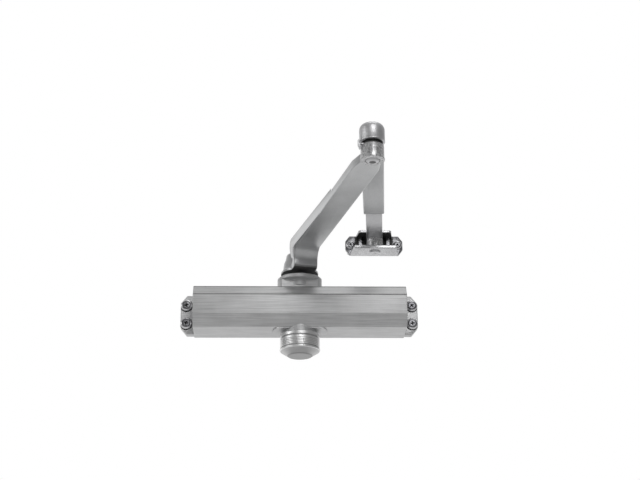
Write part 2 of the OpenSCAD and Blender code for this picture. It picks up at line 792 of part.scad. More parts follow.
module forearm_rod() {
    low = gap_low + 0.3;
    high = gap_high - 0.3;
    color([0.72, 0.72, 0.73]) along_forearm() difference() {
        union() {
            translate([rod_start, -rod_width / 2, rod_z])
                cube([forearm_length - rod_start, rod_width, rod_thickness]);
            translate([forearm_length, 0, low]) cylinder(r = eye_r, h = high - low);
        }
        translate([forearm_length, 0, low - 1]) cylinder(r = shoe_bush_r + snug, h = high - low + 2);
    }
}

module shoe_bushing() {
    color([0.75, 0.6, 0.35]) at_shoe() ring(shoe_bush_r, shoe_pin_r + running, gap_low + 0.3, gap_high - 0.3);
}

// ---- shoe ----
// base seen from the front, with cut corners
module base_outline() {
    half = shoe_width / 2;
    cut_x = 4.5;
    cut_z = 6;
    polygon([[-half, shoe_z + cut_z], [-half, shoe_top - cut_z], [-half + cut_x, shoe_top],
        [half - cut_x, shoe_top], [half, shoe_top - cut_z], [half, shoe_z + cut_z],
        [half - cut_x, shoe_z], [-half + cut_x, shoe_z]]);
}

module shoe_bracket() {
    low_back = shoe_width / 2 - 4.5;
    low_front = 21.5;
    top_back = 19;
    top_front = 16.5;
    gusset_x = 14.5;
    gusset_t = 2.4;
    front = -(shelf_depth - shoe_standoff);
    color([0.75, 0.75, 0.76]) at_shoe() difference() {
        union() {
            translate([0, shoe_standoff, 0]) rotate([90, 0, 0]) linear_extrude(base_t) base_outline();
            translate([0, 0, shoe_z]) linear_extrude(bottom_t) polygon([[-low_back, shoe_standoff - 1],
                [-low_front, front], [low_front, front], [low_back, shoe_standoff - 1]]);
            translate([0, 0, gap_high]) linear_extrude(top_t) polygon([[-top_back, shoe_standoff - 1],
                [-top_front, front + 3], [-top_front + 3, front], [top_front - 3, front],
                [top_front, front + 3], [top_back, shoe_standoff - 1]]);
            for (s = [-1, 1]) translate([s * gusset_x - gusset_t / 2, shoe_standoff - 7, gap_low - 1])
                cube([gusset_t, 6, gap_high - gap_low + 2]);
        }
        translate([0, 0, shoe_z - 1]) cylinder(r = shoe_pin_r + snug, h = shoe_height + 2);
        for (s = [-1, 1]) translate([s * shoe_hole_spacing / 2, shoe_standoff + 1, shoe_mid])
            rotate([90, 0, 0]) cylinder(d = shoe_screw_d + 0.6, h = base_t + 2);
    }
}

module shoe_pin() {
    head_h = 1.7;
    color([0.75, 0.75, 0.76]) at_shoe() difference() {
        union() {
            translate([0, 0, shoe_z - head_h]) cylinder(r1 = 5, r2 = 5.9, h = head_h);
            translate([0, 0, shoe_z - head_h / 2])
                cylinder(r = shoe_pin_r, h = shoe_height + 2.6 + head_h / 2);
        }
        translate([0, 0, shoe_top + 0.1]) ring(shoe_pin_r + 1, shoe_pin_r - 0.8, 0, 1);
    }
}

module shoe_pin_clip() {
    color([0.3, 0.3, 0.32]) at_shoe() difference() {
        ring(shoe_pin_r + 2.2, shoe_pin_r - 0.7, shoe_top + 0.15, shoe_top + 1.05);
        translate([0, -1.2, shoe_top]) cube([20, 2.4, 2]);
    }
}

module shoe_screws() {
    color([0.85, 0.85, 0.87]) at_shoe() for (s = [-1, 1])
        translate([s * shoe_hole_spacing / 2, shoe_standoff - base_t, shoe_mid]) rotate([90, 25 * s, 0])
            pan_screw(shoe_screw_d, base_t, shoe_screw_length, shoe_screw_head_d, 3);
}

body_casting();
spring_end_plug();
front_end_plug();
spring_plug_seal();
front_plug_seal();
power_screw_seal();
upper_bearing();
lower_bearing();
upper_shaft_seal();
lower_shaft_seal();
upper_gland();
lower_gland();
pinion_cap();
body_screws();
sweep_valve();
sweep_valve_seal();
latch_valve();
latch_valve_seal();
backcheck_valve();
backcheck_valve_seal();
pinion_shaft();
main_arm();
arm_washer();
arm_screw();
elbow_pin();
elbow_washer();
elbow_clip();
piston();
check_ball();
check_retainer();
outer_spring();
inner_spring();
power_screw();
spring_seat();
forearm_head();
head_plug();
elbow_bushing();
forearm_channel();
forearm_rivets();
clamp_block();
clamp_screws();
forearm_rod();
shoe_bushing();
shoe_bracket();
shoe_pin();
shoe_pin_clip();
shoe_screws();
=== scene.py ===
import json
import math

import bpy
from mathutils import Matrix, Vector


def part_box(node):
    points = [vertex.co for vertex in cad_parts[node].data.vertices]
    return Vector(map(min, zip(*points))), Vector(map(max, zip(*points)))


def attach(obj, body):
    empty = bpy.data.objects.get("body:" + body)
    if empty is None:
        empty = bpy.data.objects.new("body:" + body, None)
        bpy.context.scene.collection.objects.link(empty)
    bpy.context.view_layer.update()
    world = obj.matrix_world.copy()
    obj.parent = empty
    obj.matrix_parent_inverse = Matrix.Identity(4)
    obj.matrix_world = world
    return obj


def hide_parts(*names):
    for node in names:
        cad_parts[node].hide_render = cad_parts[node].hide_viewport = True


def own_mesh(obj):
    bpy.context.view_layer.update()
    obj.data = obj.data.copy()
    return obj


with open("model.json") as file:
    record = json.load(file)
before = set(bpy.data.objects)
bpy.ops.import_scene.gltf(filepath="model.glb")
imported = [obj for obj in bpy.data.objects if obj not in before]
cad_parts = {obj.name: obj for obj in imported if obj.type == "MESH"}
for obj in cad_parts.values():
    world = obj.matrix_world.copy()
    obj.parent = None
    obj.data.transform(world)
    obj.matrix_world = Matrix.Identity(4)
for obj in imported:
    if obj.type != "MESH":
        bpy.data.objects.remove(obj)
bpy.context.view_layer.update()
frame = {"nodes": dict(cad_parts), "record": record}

MM = 0.001

# ---- Camera ----
# The closer hangs on a door above the viewer, who stands 1.4 m away, a little to the left,
# and looks up at it through a long lens rolled by half a degree.
cap_low, cap_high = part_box("pinion_cap")
pinion = (cap_low + cap_high) / 2


def pointing(turn, rise):
    """Unit vector turned right from +Y and raised above level, in degrees."""
    a, e = math.radians(turn), math.radians(rise)
    return Vector((math.sin(a) * math.cos(e), math.cos(a) * math.cos(e), math.sin(e)))


axle = Vector((0, pinion.y, 0))
viewer_distance = 1418.6 * MM
eye = axle - pointing(1.3, 18.1) * viewer_distance
ahead = pointing(2.2, 21.0)
right = ahead.cross(Vector((0, 0, 1))).normalized()
up = right.cross(ahead)
tilt = math.radians(-0.55)
right, up = (right * math.cos(tilt) + up * math.sin(tilt),
             up * math.cos(tilt) - right * math.sin(tilt))
camera_data = bpy.data.cameras.new("viewer")
camera_data.sensor_width = 36
camera_data.lens = 78.75
camera = bpy.data.objects.new("viewer", camera_data)
camera.matrix_world = Matrix.Translation(eye) @ Matrix((right, up, -ahead)).transposed().to_4x4()
bpy.context.scene.collection.objects.link(camera)
bpy.context.scene.camera = camera


# ---- Studio ----
# A pale floor well below, a white room behind, and soft lamps in front, to the left, behind
# on the left, above and low behind. The rest of the room is dimmer, to shade the metal.
class Wire:
    """A value on its way through a material's nodes. Arithmetic on it adds Math nodes."""

    def __init__(self, tree, socket):
        self.tree, self.socket = tree, socket

    def node(self, kind, settings, inputs, out=0):
        made = self.tree.nodes.new(kind)
        for key, value in settings.items():
            setattr(made, key, value)
        for key, value in inputs.items():
            if isinstance(value, Wire):
                self.tree.links.new(value.socket, made.inputs[key])
            else:
                made.inputs[key].default_value = value
        return Wire(self.tree, made.outputs[out]) if len(made.outputs) else None

    def sum(self, operation, a, b=0.0):
        return self.node("ShaderNodeMath", {"operation": operation}, {0: a, 1: b})

    def __add__(self, other):
        return self.sum("ADD", self, other)

    def __radd__(self, other):
        return self.sum("ADD", other, self)

    def __sub__(self, other):
        return self.sum("SUBTRACT", self, other)

    def __rsub__(self, other):
        return self.sum("SUBTRACT", other, self)

    def __mul__(self, other):
        return self.sum("MULTIPLY", self, other)

    def __rmul__(self, other):
        return self.sum("MULTIPLY", other, self)


bpy.context.scene.view_settings.view_transform = "Standard"
world = bpy.data.worlds.new("studio")
bpy.context.scene.world = world
world.use_nodes = True
world.node_tree.nodes.clear()
look = Wire(world.node_tree, world.node_tree.nodes.new("ShaderNodeTexCoord").outputs["Generated"])
across, along, height = (look.node("ShaderNodeSeparateXYZ", {}, {0: look}, axis) for axis in range(3))
room_light = 0.31 + 0.20 * height + 0.20 * along - 0.10 * across * across
seen, mirrored, through = (look.node("ShaderNodeLightPath", {}, {}, "Is %s Ray" % ray)
                           for ray in ("Camera", "Glossy", "Transmission"))
behind = look.node("ShaderNodeMapRange", {"clamp": True}, {0: along, 1: 0.55, 2: 0.85})
shows = look.node("ShaderNodeClamp", {}, {0: seen + (mirrored + through) * behind})
strength = room_light + shows * (1 - room_light)
sky = look.node("ShaderNodeBackground", {}, {"Color": (1, 1, 1, 1), "Strength": strength})
look.node("ShaderNodeOutputWorld", {}, {"Surface": sky})


def material_start(name):
    """A new material, and the wire of its object coordinates."""
    material = bpy.data.materials.new(name)
    material.use_nodes = True
    tree = material.node_tree
    tree.nodes.clear()
    return material, Wire(tree, tree.nodes.new("ShaderNodeTexCoord").outputs["Object"])


bpy.ops.mesh.primitive_plane_add(size=14, location=(0, -5.2, -0.95))
floor = bpy.context.object
floor.name = "studio_floor"
paper, place = material_start("pale_paper")
speckle = place.node("ShaderNodeTexNoise", {}, {"Vector": place, "Scale": 40.0, "Detail": 3.0})
shade = place.node("ShaderNodeMix", {"data_type": "RGBA"},
                   {0: speckle, 6: (0.80, 0.80, 0.80, 1), 7: (0.84, 0.84, 0.84, 1)}, 2)
matt = place.node("ShaderNodeBsdfDiffuse", {}, {"Color": shade})
glow = place.node("ShaderNodeEmission", {}, {"Color": (0.93, 0.93, 0.93, 1)})
seen = place.node("ShaderNodeLightPath", {}, {}, "Is Camera Ray")
paler = place.node("ShaderNodeMixShader", {}, {0: 0.6 * seen, 1: matt, 2: glow})
place.node("ShaderNodeOutputMaterial", {}, {"Surface": paler})
floor.data.materials.append(paper)


def soft_lamp(name, spot, aim, width, length, power):
    """A soft box at spot that faces aim."""
    data = bpy.data.lights.new(name, "AREA")
    data.shape, data.size, data.size_y, data.energy = "RECTANGLE", width, length, power
    lamp = bpy.data.objects.new(name, data)
    lamp.location = spot
    lamp.rotation_euler = (Vector(aim) - Vector(spot)).to_track_quat("-Z", "Y").to_euler()
    lamp.visible_camera = False
    bpy.context.scene.collection.objects.link(lamp)


aim = (0.03, pinion.y - 0.08, 0.02)
under_arms = (0.06, -0.25, 0.05)
soft_lamp("front_lamp", (0.28, -1.79, 0.75), aim, 0.7, 0.8, 9.4)
soft_lamp("left_lamp", (-1.45, -0.75, 0.3), aim, 0.7, 0.7, 3.6)
soft_lamp("rim_lamp", (-1.15, 1.0, 0.15), aim, 1.0, 1.0, 1.3)
soft_lamp("top_lamp", (0.22, -0.1, 1.5), aim, 0.4, 0.8, 2.3)
soft_lamp("low_lamp", (0.10, 0.45, -0.50), under_arms, 1.3, 0.45, 0.8)

# ---- Body casting ----
# The die-cast housing: a long chamfered block with a lug at each end, a boss above and a
# pad and neck below, bored along its length and up its middle, in silver paint. Fine grooves
# along the upper chamfer and a ring round each screw are lined with painted shade.
body_low, body_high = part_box("body_casting")
gland_low, gland_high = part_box("upper_gland")
barrel_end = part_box("front_end_plug")[1].x
half_height, half_front = 21.4 * MM, 9.95 * MM
front = body_low.y
shoulder = front + 8.1 * MM
screws_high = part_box("body_screws")[1]
pan_r, screw_rise = 5.8 * MM, 9.525 * MM
screw_x = screws_high.x - pan_r


def only(obj):
    """Selects obj alone and makes it active."""
    bpy.ops.object.select_all(action="DESELECT")
    obj.select_set(True)
    bpy.context.view_layer.objects.active = obj


def block(name, low, high):
    """A block between two corners."""
    low, high = Vector(low), Vector(high)
    bpy.ops.object.select_all(action="DESELECT")
    bpy.ops.mesh.primitive_cube_add(size=1, location=(low + high) / 2, scale=high - low)
    bpy.ops.object.transform_apply()
    made = bpy.context.object
    made.name = made.data.name = name
    return made


def pare(obj, point, outward):
    """Cuts away what lies outward of a plane, and closes the cut."""
    only(obj)
    bpy.ops.object.mode_set(mode="EDIT")
    bpy.ops.mesh.select_all(action="SELECT")
    bpy.ops.mesh.bisect(plane_co=point, plane_no=Vector(outward).normalized(),
                        use_fill=True, clear_outer=True)
    bpy.ops.object.mode_set(mode="OBJECT")
    return obj


def turned(name, middle, steps, sides=96):
    """A turned piece about an upright line, drawn out ring by ring from (radius, height) steps."""
    radius, level = steps[0]
    bpy.ops.object.select_all(action="DESELECT")
    bpy.ops.mesh.primitive_circle_add(vertices=sides, radius=radius, fill_type="NGON",
                                      location=(middle[0], middle[1], level))
    bpy.ops.object.transform_apply()
    bpy.ops.object.mode_set(mode="EDIT")
    bpy.ops.mesh.select_all(action="SELECT")
    for wider, higher in steps[1:]:
        bpy.ops.mesh.extrude_region_move(TRANSFORM_OT_translate={"value": (0, 0, higher - level)})
        share = wider / radius
        bpy.ops.transform.resize(value=(share, share, 1),
                                 center_override=(middle[0], middle[1], higher))
        radius, level = wider, higher
    bpy.ops.mesh.select_all(action="SELECT")
    bpy.ops.mesh.normals_make_consistent(inside=False)
    bpy.ops.object.mode_set(mode="OBJECT")
    made = bpy.context.object
    made.name = made.data.name = name
    return made


def finish_with(obj, kind, **settings):
    """Adds a modifier with its settings and applies it."""
    only(obj)
    modifier = obj.modifiers.new(kind.lower(), kind)
    for key, value in settings.items():
        setattr(modifier, key, value)
    bpy.ops.object.modifier_apply(modifier=modifier.name)
    return obj


def ease(obj, width, segments=2, sharper=30):
    """Rounds the edges that are sharper than an angle in degrees."""
    return finish_with(obj, "BEVEL", width=width, segments=segments, limit_method="ANGLE",
                       angle_limit=math.radians(sharper), use_clamp_overlap=True)


def weld(obj, *others):
    """Joins other pieces into obj as one closed solid."""
    for other in others:
        finish_with(obj, "BOOLEAN", operation="UNION", object=other, solver="EXACT",
                    material_mode="TRANSFER")
        bpy.data.objects.remove(other)
    return obj


def drill(obj, *cutters, lining=None):
    """Cuts other pieces out of obj. The cut keeps obj's material, or takes the lining."""
    for cutter in cutters:
        if lining:
            cutter.data.materials.append(lining)
        finish_with(obj, "BOOLEAN", operation="DIFFERENCE", object=cutter, solver="EXACT",
                    material_mode="TRANSFER" if lining else "INDEX")
        bpy.data.objects.remove(cutter)
    return obj


def spin(angle, about):
    """A turn by an angle in degrees about the X, Y or Z axis."""
    return Matrix.Rotation(math.radians(angle), 4, about)


def bar(name, along_axis, centre, radius, low, high, sides=96):
    """A round bar about the X, Y or Z line through centre, from low to high on it."""
    made = turned(name, (0, 0), [(radius, low), (radius, high)], sides)
    turn = {"X": spin(90, "Y"), "Y": spin(-90, "X"), "Z": Matrix.Identity(4)}[along_axis]
    made.data.transform(Matrix.Translation(centre) @ turn)
    return made


def set_off(obj, body, nodes, material, angle=32):
    """Gives obj its material and smooth curves, and lets it ride on its body for its CAD nodes."""
    only(obj)
    if not obj.data.materials:
        obj.data.materials.append(material)
    for index, held in enumerate(obj.data.materials):
        if held is None:
            obj.data.materials[index] = material
    bpy.ops.object.shade_smooth_by_angle(angle=math.radians(angle))
    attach(obj, body)
    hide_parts(*nodes)
    return obj


def metal_finish(name, light, dark, rough, metallic, grain, depth, draw=(1, 1, 1), flecks=0.0, cloud=0.5):
    """Metal or metallic paint. Its grain and bump depth are in metres, draw stretches the grain,
    flecks adds bright flakes, and cloud is the share of the colour's change that is broad."""
    material, place = material_start(name)
    drawn = place.node("ShaderNodeMapping", {}, {"Vector": place, "Scale": draw})
    fine = place.node("ShaderNodeTexNoise", {}, {"Vector": drawn, "Scale": 1 / grain, "Detail": 3.0})
    broad = place.node("ShaderNodeTexNoise", {}, {"Vector": place, "Scale": 45.0, "Detail": 3.0})
    tone = fine * (1 - cloud) + broad * cloud
    tone = place.node("ShaderNodeMapRange", {}, {0: tone, 1: 0.32, 2: 0.68})
    colour = place.node("ShaderNodeMix", {"data_type": "RGBA"},
                        {0: tone, 6: (*dark, 1), 7: (*light, 1)}, 2)
    if flecks:
        flake = place.node("ShaderNodeTexNoise", {}, {"Vector": place, "Scale": 2600.0, "Detail": 1.0})
        flake = place.node("ShaderNodeMapRange", {}, {0: flake, 1: 0.62, 2: 0.72})
        colour = place.node("ShaderNodeMix", {"data_type": "RGBA"},
                            {0: flake * flecks, 6: colour, 7: (0.95, 0.95, 0.95, 1)}, 2)
    gloss = rough + (fine - 0.5) * 0.16 + (broad - 0.5) * 0.12
    bump = place.node("ShaderNodeBump", {}, {"Height": fine, "Strength": 1.0, "Distance": depth})
    surface = place.node("ShaderNodeBsdfPrincipled", {},
                         {"Base Color": colour, "Roughness": gloss, "Metallic": metallic, "Normal": bump})
    place.node("ShaderNodeOutputMaterial", {}, {"Surface": surface})
    return material


# Two painted shades, near black and dark grey. They line recesses, gaps and undersides as shadow.
black_shade = metal_finish("painted_black_shade", (0.045, 0.045, 0.045), (0.02, 0.02, 0.02), 0.6, 0.0,
                    0.5 * MM, 0.02 * MM)
groove_shade = metal_finish("groove_shade", (0.24, 0.24, 0.24), (0.14, 0.14, 0.14), 0.6, 0.2,
                            0.5 * MM, 0.02 * MM)
silver_paint = metal_finish("silver_paint", (0.66, 0.662, 0.665), (0.44, 0.442, 0.445), 0.50, 0.7,
                            1.1 * MM, 0.03 * MM, (0.03, 1, 1), 0.25, 0.3)
body = block("housing", (-barrel_end, front, -half_height), (barrel_end, 0, half_height))
for level in (-1, 1):
    corner = Vector((0, front, level * half_front))
    pare(body, corner, (0, -(half_height - half_front), level * (shoulder - front)))
ease(body, 0.7 * MM, 3)
body.data.materials.append(silver_paint)

lug_thickness, half_lug = 10 * MM, 20.5 * MM
lugs = block("lugs", (body_low.x, -lug_thickness, -half_lug), (body_high.x, 0, half_lug))
for side in (-1, 1):
    for level in (-1, 1):
        corner = Vector((side * (body_high.x - 6.5 * MM), 0, level * half_lug))
        pare(lugs, corner, (side * 8, 0, level * 6.5))
ease(lugs, 0.9 * MM, 3)

boss_top = gland_high.z - 3.8 * MM
boss_r = (gland_high.x - gland_low.x) / 2
boss = turned("boss", axle, [(boss_r, 0), (boss_r, boss_top)])
pare(boss, (0, shoulder + 1.6 * MM, 0), (0, -1, 0))
pad_r, neck_r = 27.5 * MM, 17 * MM
pad = turned("pad", axle, [(27.0 * MM, -22.6 * MM), (pad_r, -22.2 * MM), (pad_r, -15 * MM)], 128)
pare(pad, (0, shoulder + 0.6 * MM, 0), (0, -1, 0))
pare(pad, (0, -0.03 * MM, 0), (0, 1, 0))
neck = turned("neck", axle, [(neck_r, body_low.z), (neck_r, -10 * MM)])
weld(body, neck, boss, pad, lugs)
past_end = barrel_end + 1 * MM
# The grooves are lined with painted shade, dark grey.
for low, high, deep in ((half_front - 0.05 * MM, half_front + 0.95 * MM, 0.75 * MM),
                        (half_height - 1.2 * MM, half_height - 0.5 * MM, 7.95 * MM)):
    groove = block("groove", (-past_end, front - 1 * MM, low), (past_end, front + deep, high))
    drill(body, groove, lining=groove_shade)

bore_r, mouth_r = 16 * MM, 17.5 * MM
plug_depth, valve_depth = 14 * MM, 22 * MM
drill(body, bar("bore", "X", axle, bore_r, -past_end, past_end))
for side in (-1, 1):
    ends = sorted((side * (barrel_end - plug_depth), side * past_end))
    drill(body, bar("mouth", "X", axle, mouth_r, *ends))
    for level in (-1, 1):
        hole = Vector((side * screw_x, 0, level * screw_rise))
        drill(body, bar("screw_hole", "Y", hole, 3.3 * MM, -11 * MM, 1 * MM, 48))
        # The ring cut round each screw is lined with painted black shade.
        ring = drill(bar("ring", "Y", hole, 6.45 * MM, -11 * MM, -9.3 * MM, 64),
                     bar("land", "Y", hole, 5.6 * MM, -12 * MM, -9 * MM, 64))
        drill(body, ring, lining=black_shade)
valve_boxes = {name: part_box(name) for name in ("sweep_valve", "latch_valve", "backcheck_valve")}
for low, high in valve_boxes.values():
    middle = (low + high) / 2
    side = 1 if middle.x > 0 else -1
    ends = sorted((side * (barrel_end - valve_depth), side * past_end))
    drill(body, bar("valve_hole", "X", (0, middle.y, middle.z), 2.6 * MM, *ends, 32))
drill(body, bar("shaft_hole", "Z", axle, 12.02 * MM, -28 * MM, 23.7 * MM),
      bar("gland_thread", "Z", axle, 15.02 * MM, 23.7 * MM, 40 * MM),
      bar("lower_thread", "Z", axle, 14.02 * MM, -32 * MM, -27.9 * MM))
set_off(body, "closer_body", ["body_casting"], silver_paint)

# ---- Upper gland ----
# The ring screwed into the top of the boss, which holds the bearing and the lip seal. It is
# turned, then painted with the body, and two pin holes take its spanner.
gland = turned("gland_ring", axle,
               [(12.1 * MM, gland_low.z), (15 * MM, gland_low.z), (15 * MM, boss_top + 0.02 * MM),
                (boss_r - 0.5 * MM, boss_top + 0.02 * MM), (boss_r, boss_top + 0.5 * MM),
                (boss_r, gland_high.z - 0.8 * MM), (boss_r - 0.8 * MM, gland_high.z)])
drill(gland, bar("shaft_way", "Z", axle, 8.5 * MM, 20 * MM, 40 * MM),
      bar("seal_room", "Z", axle, 12 * MM, 22 * MM, 27.8 * MM))
for angle in (45, 225):
    lean = math.radians(angle)
    spot = axle + Vector((math.cos(lean), math.sin(lean), 0)) * 15.5 * MM
    drill(gland, bar("pin_hole", "Z", spot, 1.6 * MM, gland_high.z - 2 * MM, 40 * MM, 24))
set_off(gland, "closer_body", ["upper_gland"], silver_paint)

# ---- End plugs ----
# Steel discs threaded into both ends of the bore. The spring end has two pin holes round the
# power screw, and the front end has a hex socket.
turned_steel = metal_finish("turned_steel", (0.62, 0.62, 0.63), (0.44, 0.44, 0.45), 0.36, 1.0,
                            0.3 * MM, 0.01 * MM, (1, 0.08, 0.08))
disc_r = 17.45 * MM
for name, side in (("spring_end_plug", -1), ("front_end_plug", 1)):
    low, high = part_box(name)
    length = high.x - low.x
    plug = turned(name.replace("plug", "disc"), (0, 0),
                  [(disc_r, -length), (disc_r, -0.7 * MM), (16.8 * MM, 0)])
    if side < 0:
        drill(plug, bar("screw_way", "Z", (0, 0, 0), 5.05 * MM, -20 * MM, 1 * MM, 48))
        for across_bore in (-1, 1):
            spot = (across_bore * 11.5 * MM, 0, 0)
            drill(plug, bar("pin_hole", "Z", spot, 1.8 * MM, -4 * MM, 1 * MM, 24))
    else:
        drill(plug, bar("hex_socket", "Z", (0, 0, 0), 6.9 * MM, -6 * MM, 1 * MM, 6))
    plug.data.transform(Matrix.Translation((side * barrel_end, pinion.y, 0)) @ spin(90 * side, "Y"))
    set_off(plug, "closer_body", [name], turned_steel)

# ---- Pinion cap ----
# The cover over the lower end of the pinion: turned aluminium with a rim, a groove, a ribbed
# band, a bead and a shallow cone, hollow inside, pressed over the neck.
satin_cap = metal_finish("satin_cap", (0.88, 0.88, 0.88), (0.76, 0.76, 0.76), 0.40, 0.95,
                         0.25 * MM, 0.012 * MM, (0.03, 0.03, 1))
cap_r = 19.9 * MM
top, bottom = cap_high.z, cap_low.z
steps = [(9.6 * MM, bottom - 0.3 * MM), (11.4 * MM, bottom - 0.4 * MM),
         (12.2 * MM, bottom - 0.15 * MM), (12.7 * MM, bottom + 0.3 * MM),
         (cap_r - 0.5 * MM, bottom + 4.6 * MM), (cap_r + 0.2 * MM, bottom + 5.0 * MM),
         (cap_r + 0.42 * MM, bottom + 5.7 * MM), (cap_r + 0.2 * MM, bottom + 6.4 * MM),
         (cap_r - 0.7 * MM, bottom + 6.8 * MM), (cap_r - 0.7 * MM, bottom + 7.5 * MM)]
ribs, band_low, rib_height = 5, bottom + 7.7 * MM, 1.6 * MM
for rib in range(ribs):
    edge = band_low + rib * rib_height
    steps += [(cap_r - 0.5 * MM, edge), (cap_r - 0.5 * MM, edge + 0.25 * MM), (cap_r, edge + 0.5 * MM),
              (cap_r, edge + rib_height - 0.25 * MM)]
steps += [(cap_r, bottom + 16.6 * MM), (cap_r - 0.9 * MM, bottom + 16.9 * MM),
          (cap_r - 0.9 * MM, bottom + 17.9 * MM), (cap_r, bottom + 18.3 * MM),
          (cap_r + 0.1 * MM, top - 0.7 * MM), (cap_r - 0.5 * MM, top)]
cap = turned("cap_shell", axle, steps, 128)
drill(cap, bar("neck_seat", "Z", axle, 17.02 * MM, body_low.z - 0.2 * MM, 0),
      bar("hollow", "Z", axle, 12.5 * MM, bottom + 3 * MM, 0))
cap.data.materials.append(satin_cap)


def coat(obj, material, chosen):
    """Gives another material to the faces that pass a test."""
    obj.data.materials.append(material)
    for face in obj.data.polygons:
        if chosen(face):
            face.material_index = len(obj.data.materials) - 1


def in_cap_groove(face):
    """True for the floors of the turned grooves."""
    away = Vector((face.center.x, face.center.y - pinion.y)).length
    above_bottom = face.center.z - bottom
    return 18 * MM < away < cap_r - 0.45 * MM and 6.5 * MM < above_bottom < 18 * MM


# Shaded copies of the cap's aluminium: painted shade on the downward cone, darker on the end, and lighter
# painted shade on the groove floors.
cap_cone_shaded = metal_finish("cap_cone_shaded", (0.60, 0.60, 0.60), (0.44, 0.44, 0.44), 0.4, 0.95,
                        0.25 * MM, 0.02 * MM, (0.03, 0.03, 1))
cap_end_shaded = metal_finish("cap_end_shaded", (0.40, 0.40, 0.40), (0.28, 0.28, 0.28), 0.45, 0.9,
                       0.4 * MM, 0.02 * MM)
coat(cap, cap_cone_shaded, lambda face: face.center.z < bottom + 4.7 * MM)
coat(cap, cap_end_shaded, lambda face: face.center.z < bottom + 0.2 * MM)
cap_groove = metal_finish("cap_groove", (0.50, 0.50, 0.50), (0.38, 0.38, 0.38), 0.5, 0.9,
                          0.25 * MM, 0.012 * MM)
coat(cap, cap_groove, in_cap_groove)
set_off(cap, "closer_body", ["pinion_cap"], satin_cap, 40)

# ---- Body screws ----
# Four pan-head machine screws with crossed recesses through the lugs, bright plated, with
# painted shade on the crown round the recess and painted black shade in the recess.
plated = metal_finish("bright_plate", (0.94, 0.94, 0.95), (0.76, 0.76, 0.78), 0.28, 1.0,
                      0.6 * MM, 0.006 * MM)
# A dark copy of the plating: painted shade, on the screw crowns and inside the shoe.
plate_painted_shade = metal_finish("plate_painted_shade", (0.30, 0.30, 0.31), (0.10, 0.10, 0.11), 0.34, 0.9,
                          1.2 * MM, 0.03 * MM)


def threaded(name, thread_r, low, high):
    """A screw thread about Z, ridge by ridge, with a lead-in at its lower end."""
    pitch = 1.0 * MM
    steps = [(thread_r * 0.6, low), (thread_r * 0.9, low + 1.2 * MM)]
    level = low + 1.6 * MM
    while level < high - pitch:
        steps += [(thread_r - 0.45 * MM, level), (thread_r, level + pitch * 0.4),
                  (thread_r, level + pitch * 0.55)]
        level += pitch
    return turned(name, (0, 0), steps + [(thread_r - 0.45 * MM, high)], 32)


def pan_screw(name, neck_r, grip, thread_r, length, head_r, head_height):
    """A pan-head screw with a crossed recess, that points down from z = 0 with its head above."""
    head = [(head_r * 0.97, 0), (head_r, 0.25 * MM)]
    for step in range(9):
        lean = math.radians(step * 10)
        head.append((head_r * (0.42 + 0.58 * math.cos(lean)),
                     head_height * (0.42 + 0.58 * math.sin(lean))))
    screw = turned(name, (0, 0), head, 64)
    screw.data.materials.append(plated)
    # The crown is painted darker, as shade.
    coat(screw, plate_painted_shade, lambda face: face.normal.z > 0.9)
    weld(screw, threaded("thread", thread_r, -length, 0.1 * MM - grip),
         turned("neck", (0, 0), [(neck_r, -grip), (neck_r, 0.2 * MM)], 48))
    deep = head_height - 2 * MM
    for turn in (0, 90):
        blade = block("blade", (-head_r * 0.6, -head_r * 0.15, deep),
                      (head_r * 0.6, head_r * 0.15, head_height * 2))
        only(blade)
        bpy.ops.object.mode_set(mode="EDIT")
        bpy.ops.mesh.select_all(action="DESELECT")
        bpy.ops.object.mode_set(mode="OBJECT")
        for face in blade.data.polygons:
            face.select = face.normal.z < -0.9
        bpy.ops.object.mode_set(mode="EDIT")
        bpy.ops.mesh.select_mode(type="FACE")
        bpy.ops.transform.resize(value=(0.45, 0.7, 1), center_override=(0, 0, deep))
        bpy.ops.object.mode_set(mode="OBJECT")
        blade.data.transform(spin(turn, "Z"))
        # The recess is lined with painted black shade.
        drill(screw, blade, lining=black_shade)
    return screw


def copied(obj, name, matrix):
    """Another of the same piece, with its own mesh, set in place."""
    again = bpy.data.objects.new(name, obj.data.copy())
    again.data.name = name
    again.data.transform(matrix)
    bpy.context.scene.collection.objects.link(again)
    return again


pattern = pan_screw("screw_pattern", 3.2 * MM, lug_thickness, 3 * MM, screws_high.y + lug_thickness,
                    pan_r, 3.8 * MM)
for side, level, turn in ((-1, 1, 12), (-1, -1, -20), (1, 1, 38), (1, -1, 8)):
    name = "body_screw_%s_%s" % ("right" if side > 0 else "left", "upper" if level > 0 else "lower")
    spot = Matrix.Translation((side * screw_x, -lug_thickness, level * screw_rise))
    screw = copied(pattern, name, spot @ spin(90, "X") @ spin(turn, "Z"))
    set_off(screw, "closer_body", ["body_screws"], plated, 38)
bpy.data.objects.remove(pattern)

# ---- Valves ----
# Slotted brass needles in the ends of the body, which set the sweep, the latch and the
# backcheck. Each is turned, with a waist for its rubber seal, and screws into the casting.
brass = metal_finish("brass_valve", (0.78, 0.62, 0.33), (0.6, 0.44, 0.2), 0.3, 1.0,
                     0.3 * MM, 0.008 * MM, (1, 0.1, 0.1))
adjusters = ("sweep_adjuster", "latch_adjuster", "backcheck_adjuster")
valve_r, waist_r = 2.5 * MM, 1.8 * MM
for (name, (low, high)), body_name in zip(valve_boxes.items(), adjusters):
    middle = (low + high) / 2
    side = 1 if middle.x > 0 else -1
    length = high.x - low.x
    needle = turned(name.replace("valve", "needle"), (0, 0),
                    [(0.6 * MM, -length), (2.45 * MM, -length + 3 * MM), (valve_r, -11.6 * MM),
                     (waist_r, -11.5 * MM), (waist_r, -10.1 * MM), (valve_r, -10 * MM),
                     (valve_r, -0.3 * MM), (2.2 * MM, 0)], 32)
    drill(needle, block("slot", (-3 * MM, -0.5 * MM, -1.4 * MM), (3 * MM, 0.5 * MM, 1 * MM)))
    out = high.x if side > 0 else low.x
    needle.data.transform(Matrix.Translation((out, middle.y, middle.z)) @ spin(90 * side, "Y"))
    set_off(needle, body_name, [name], brass)
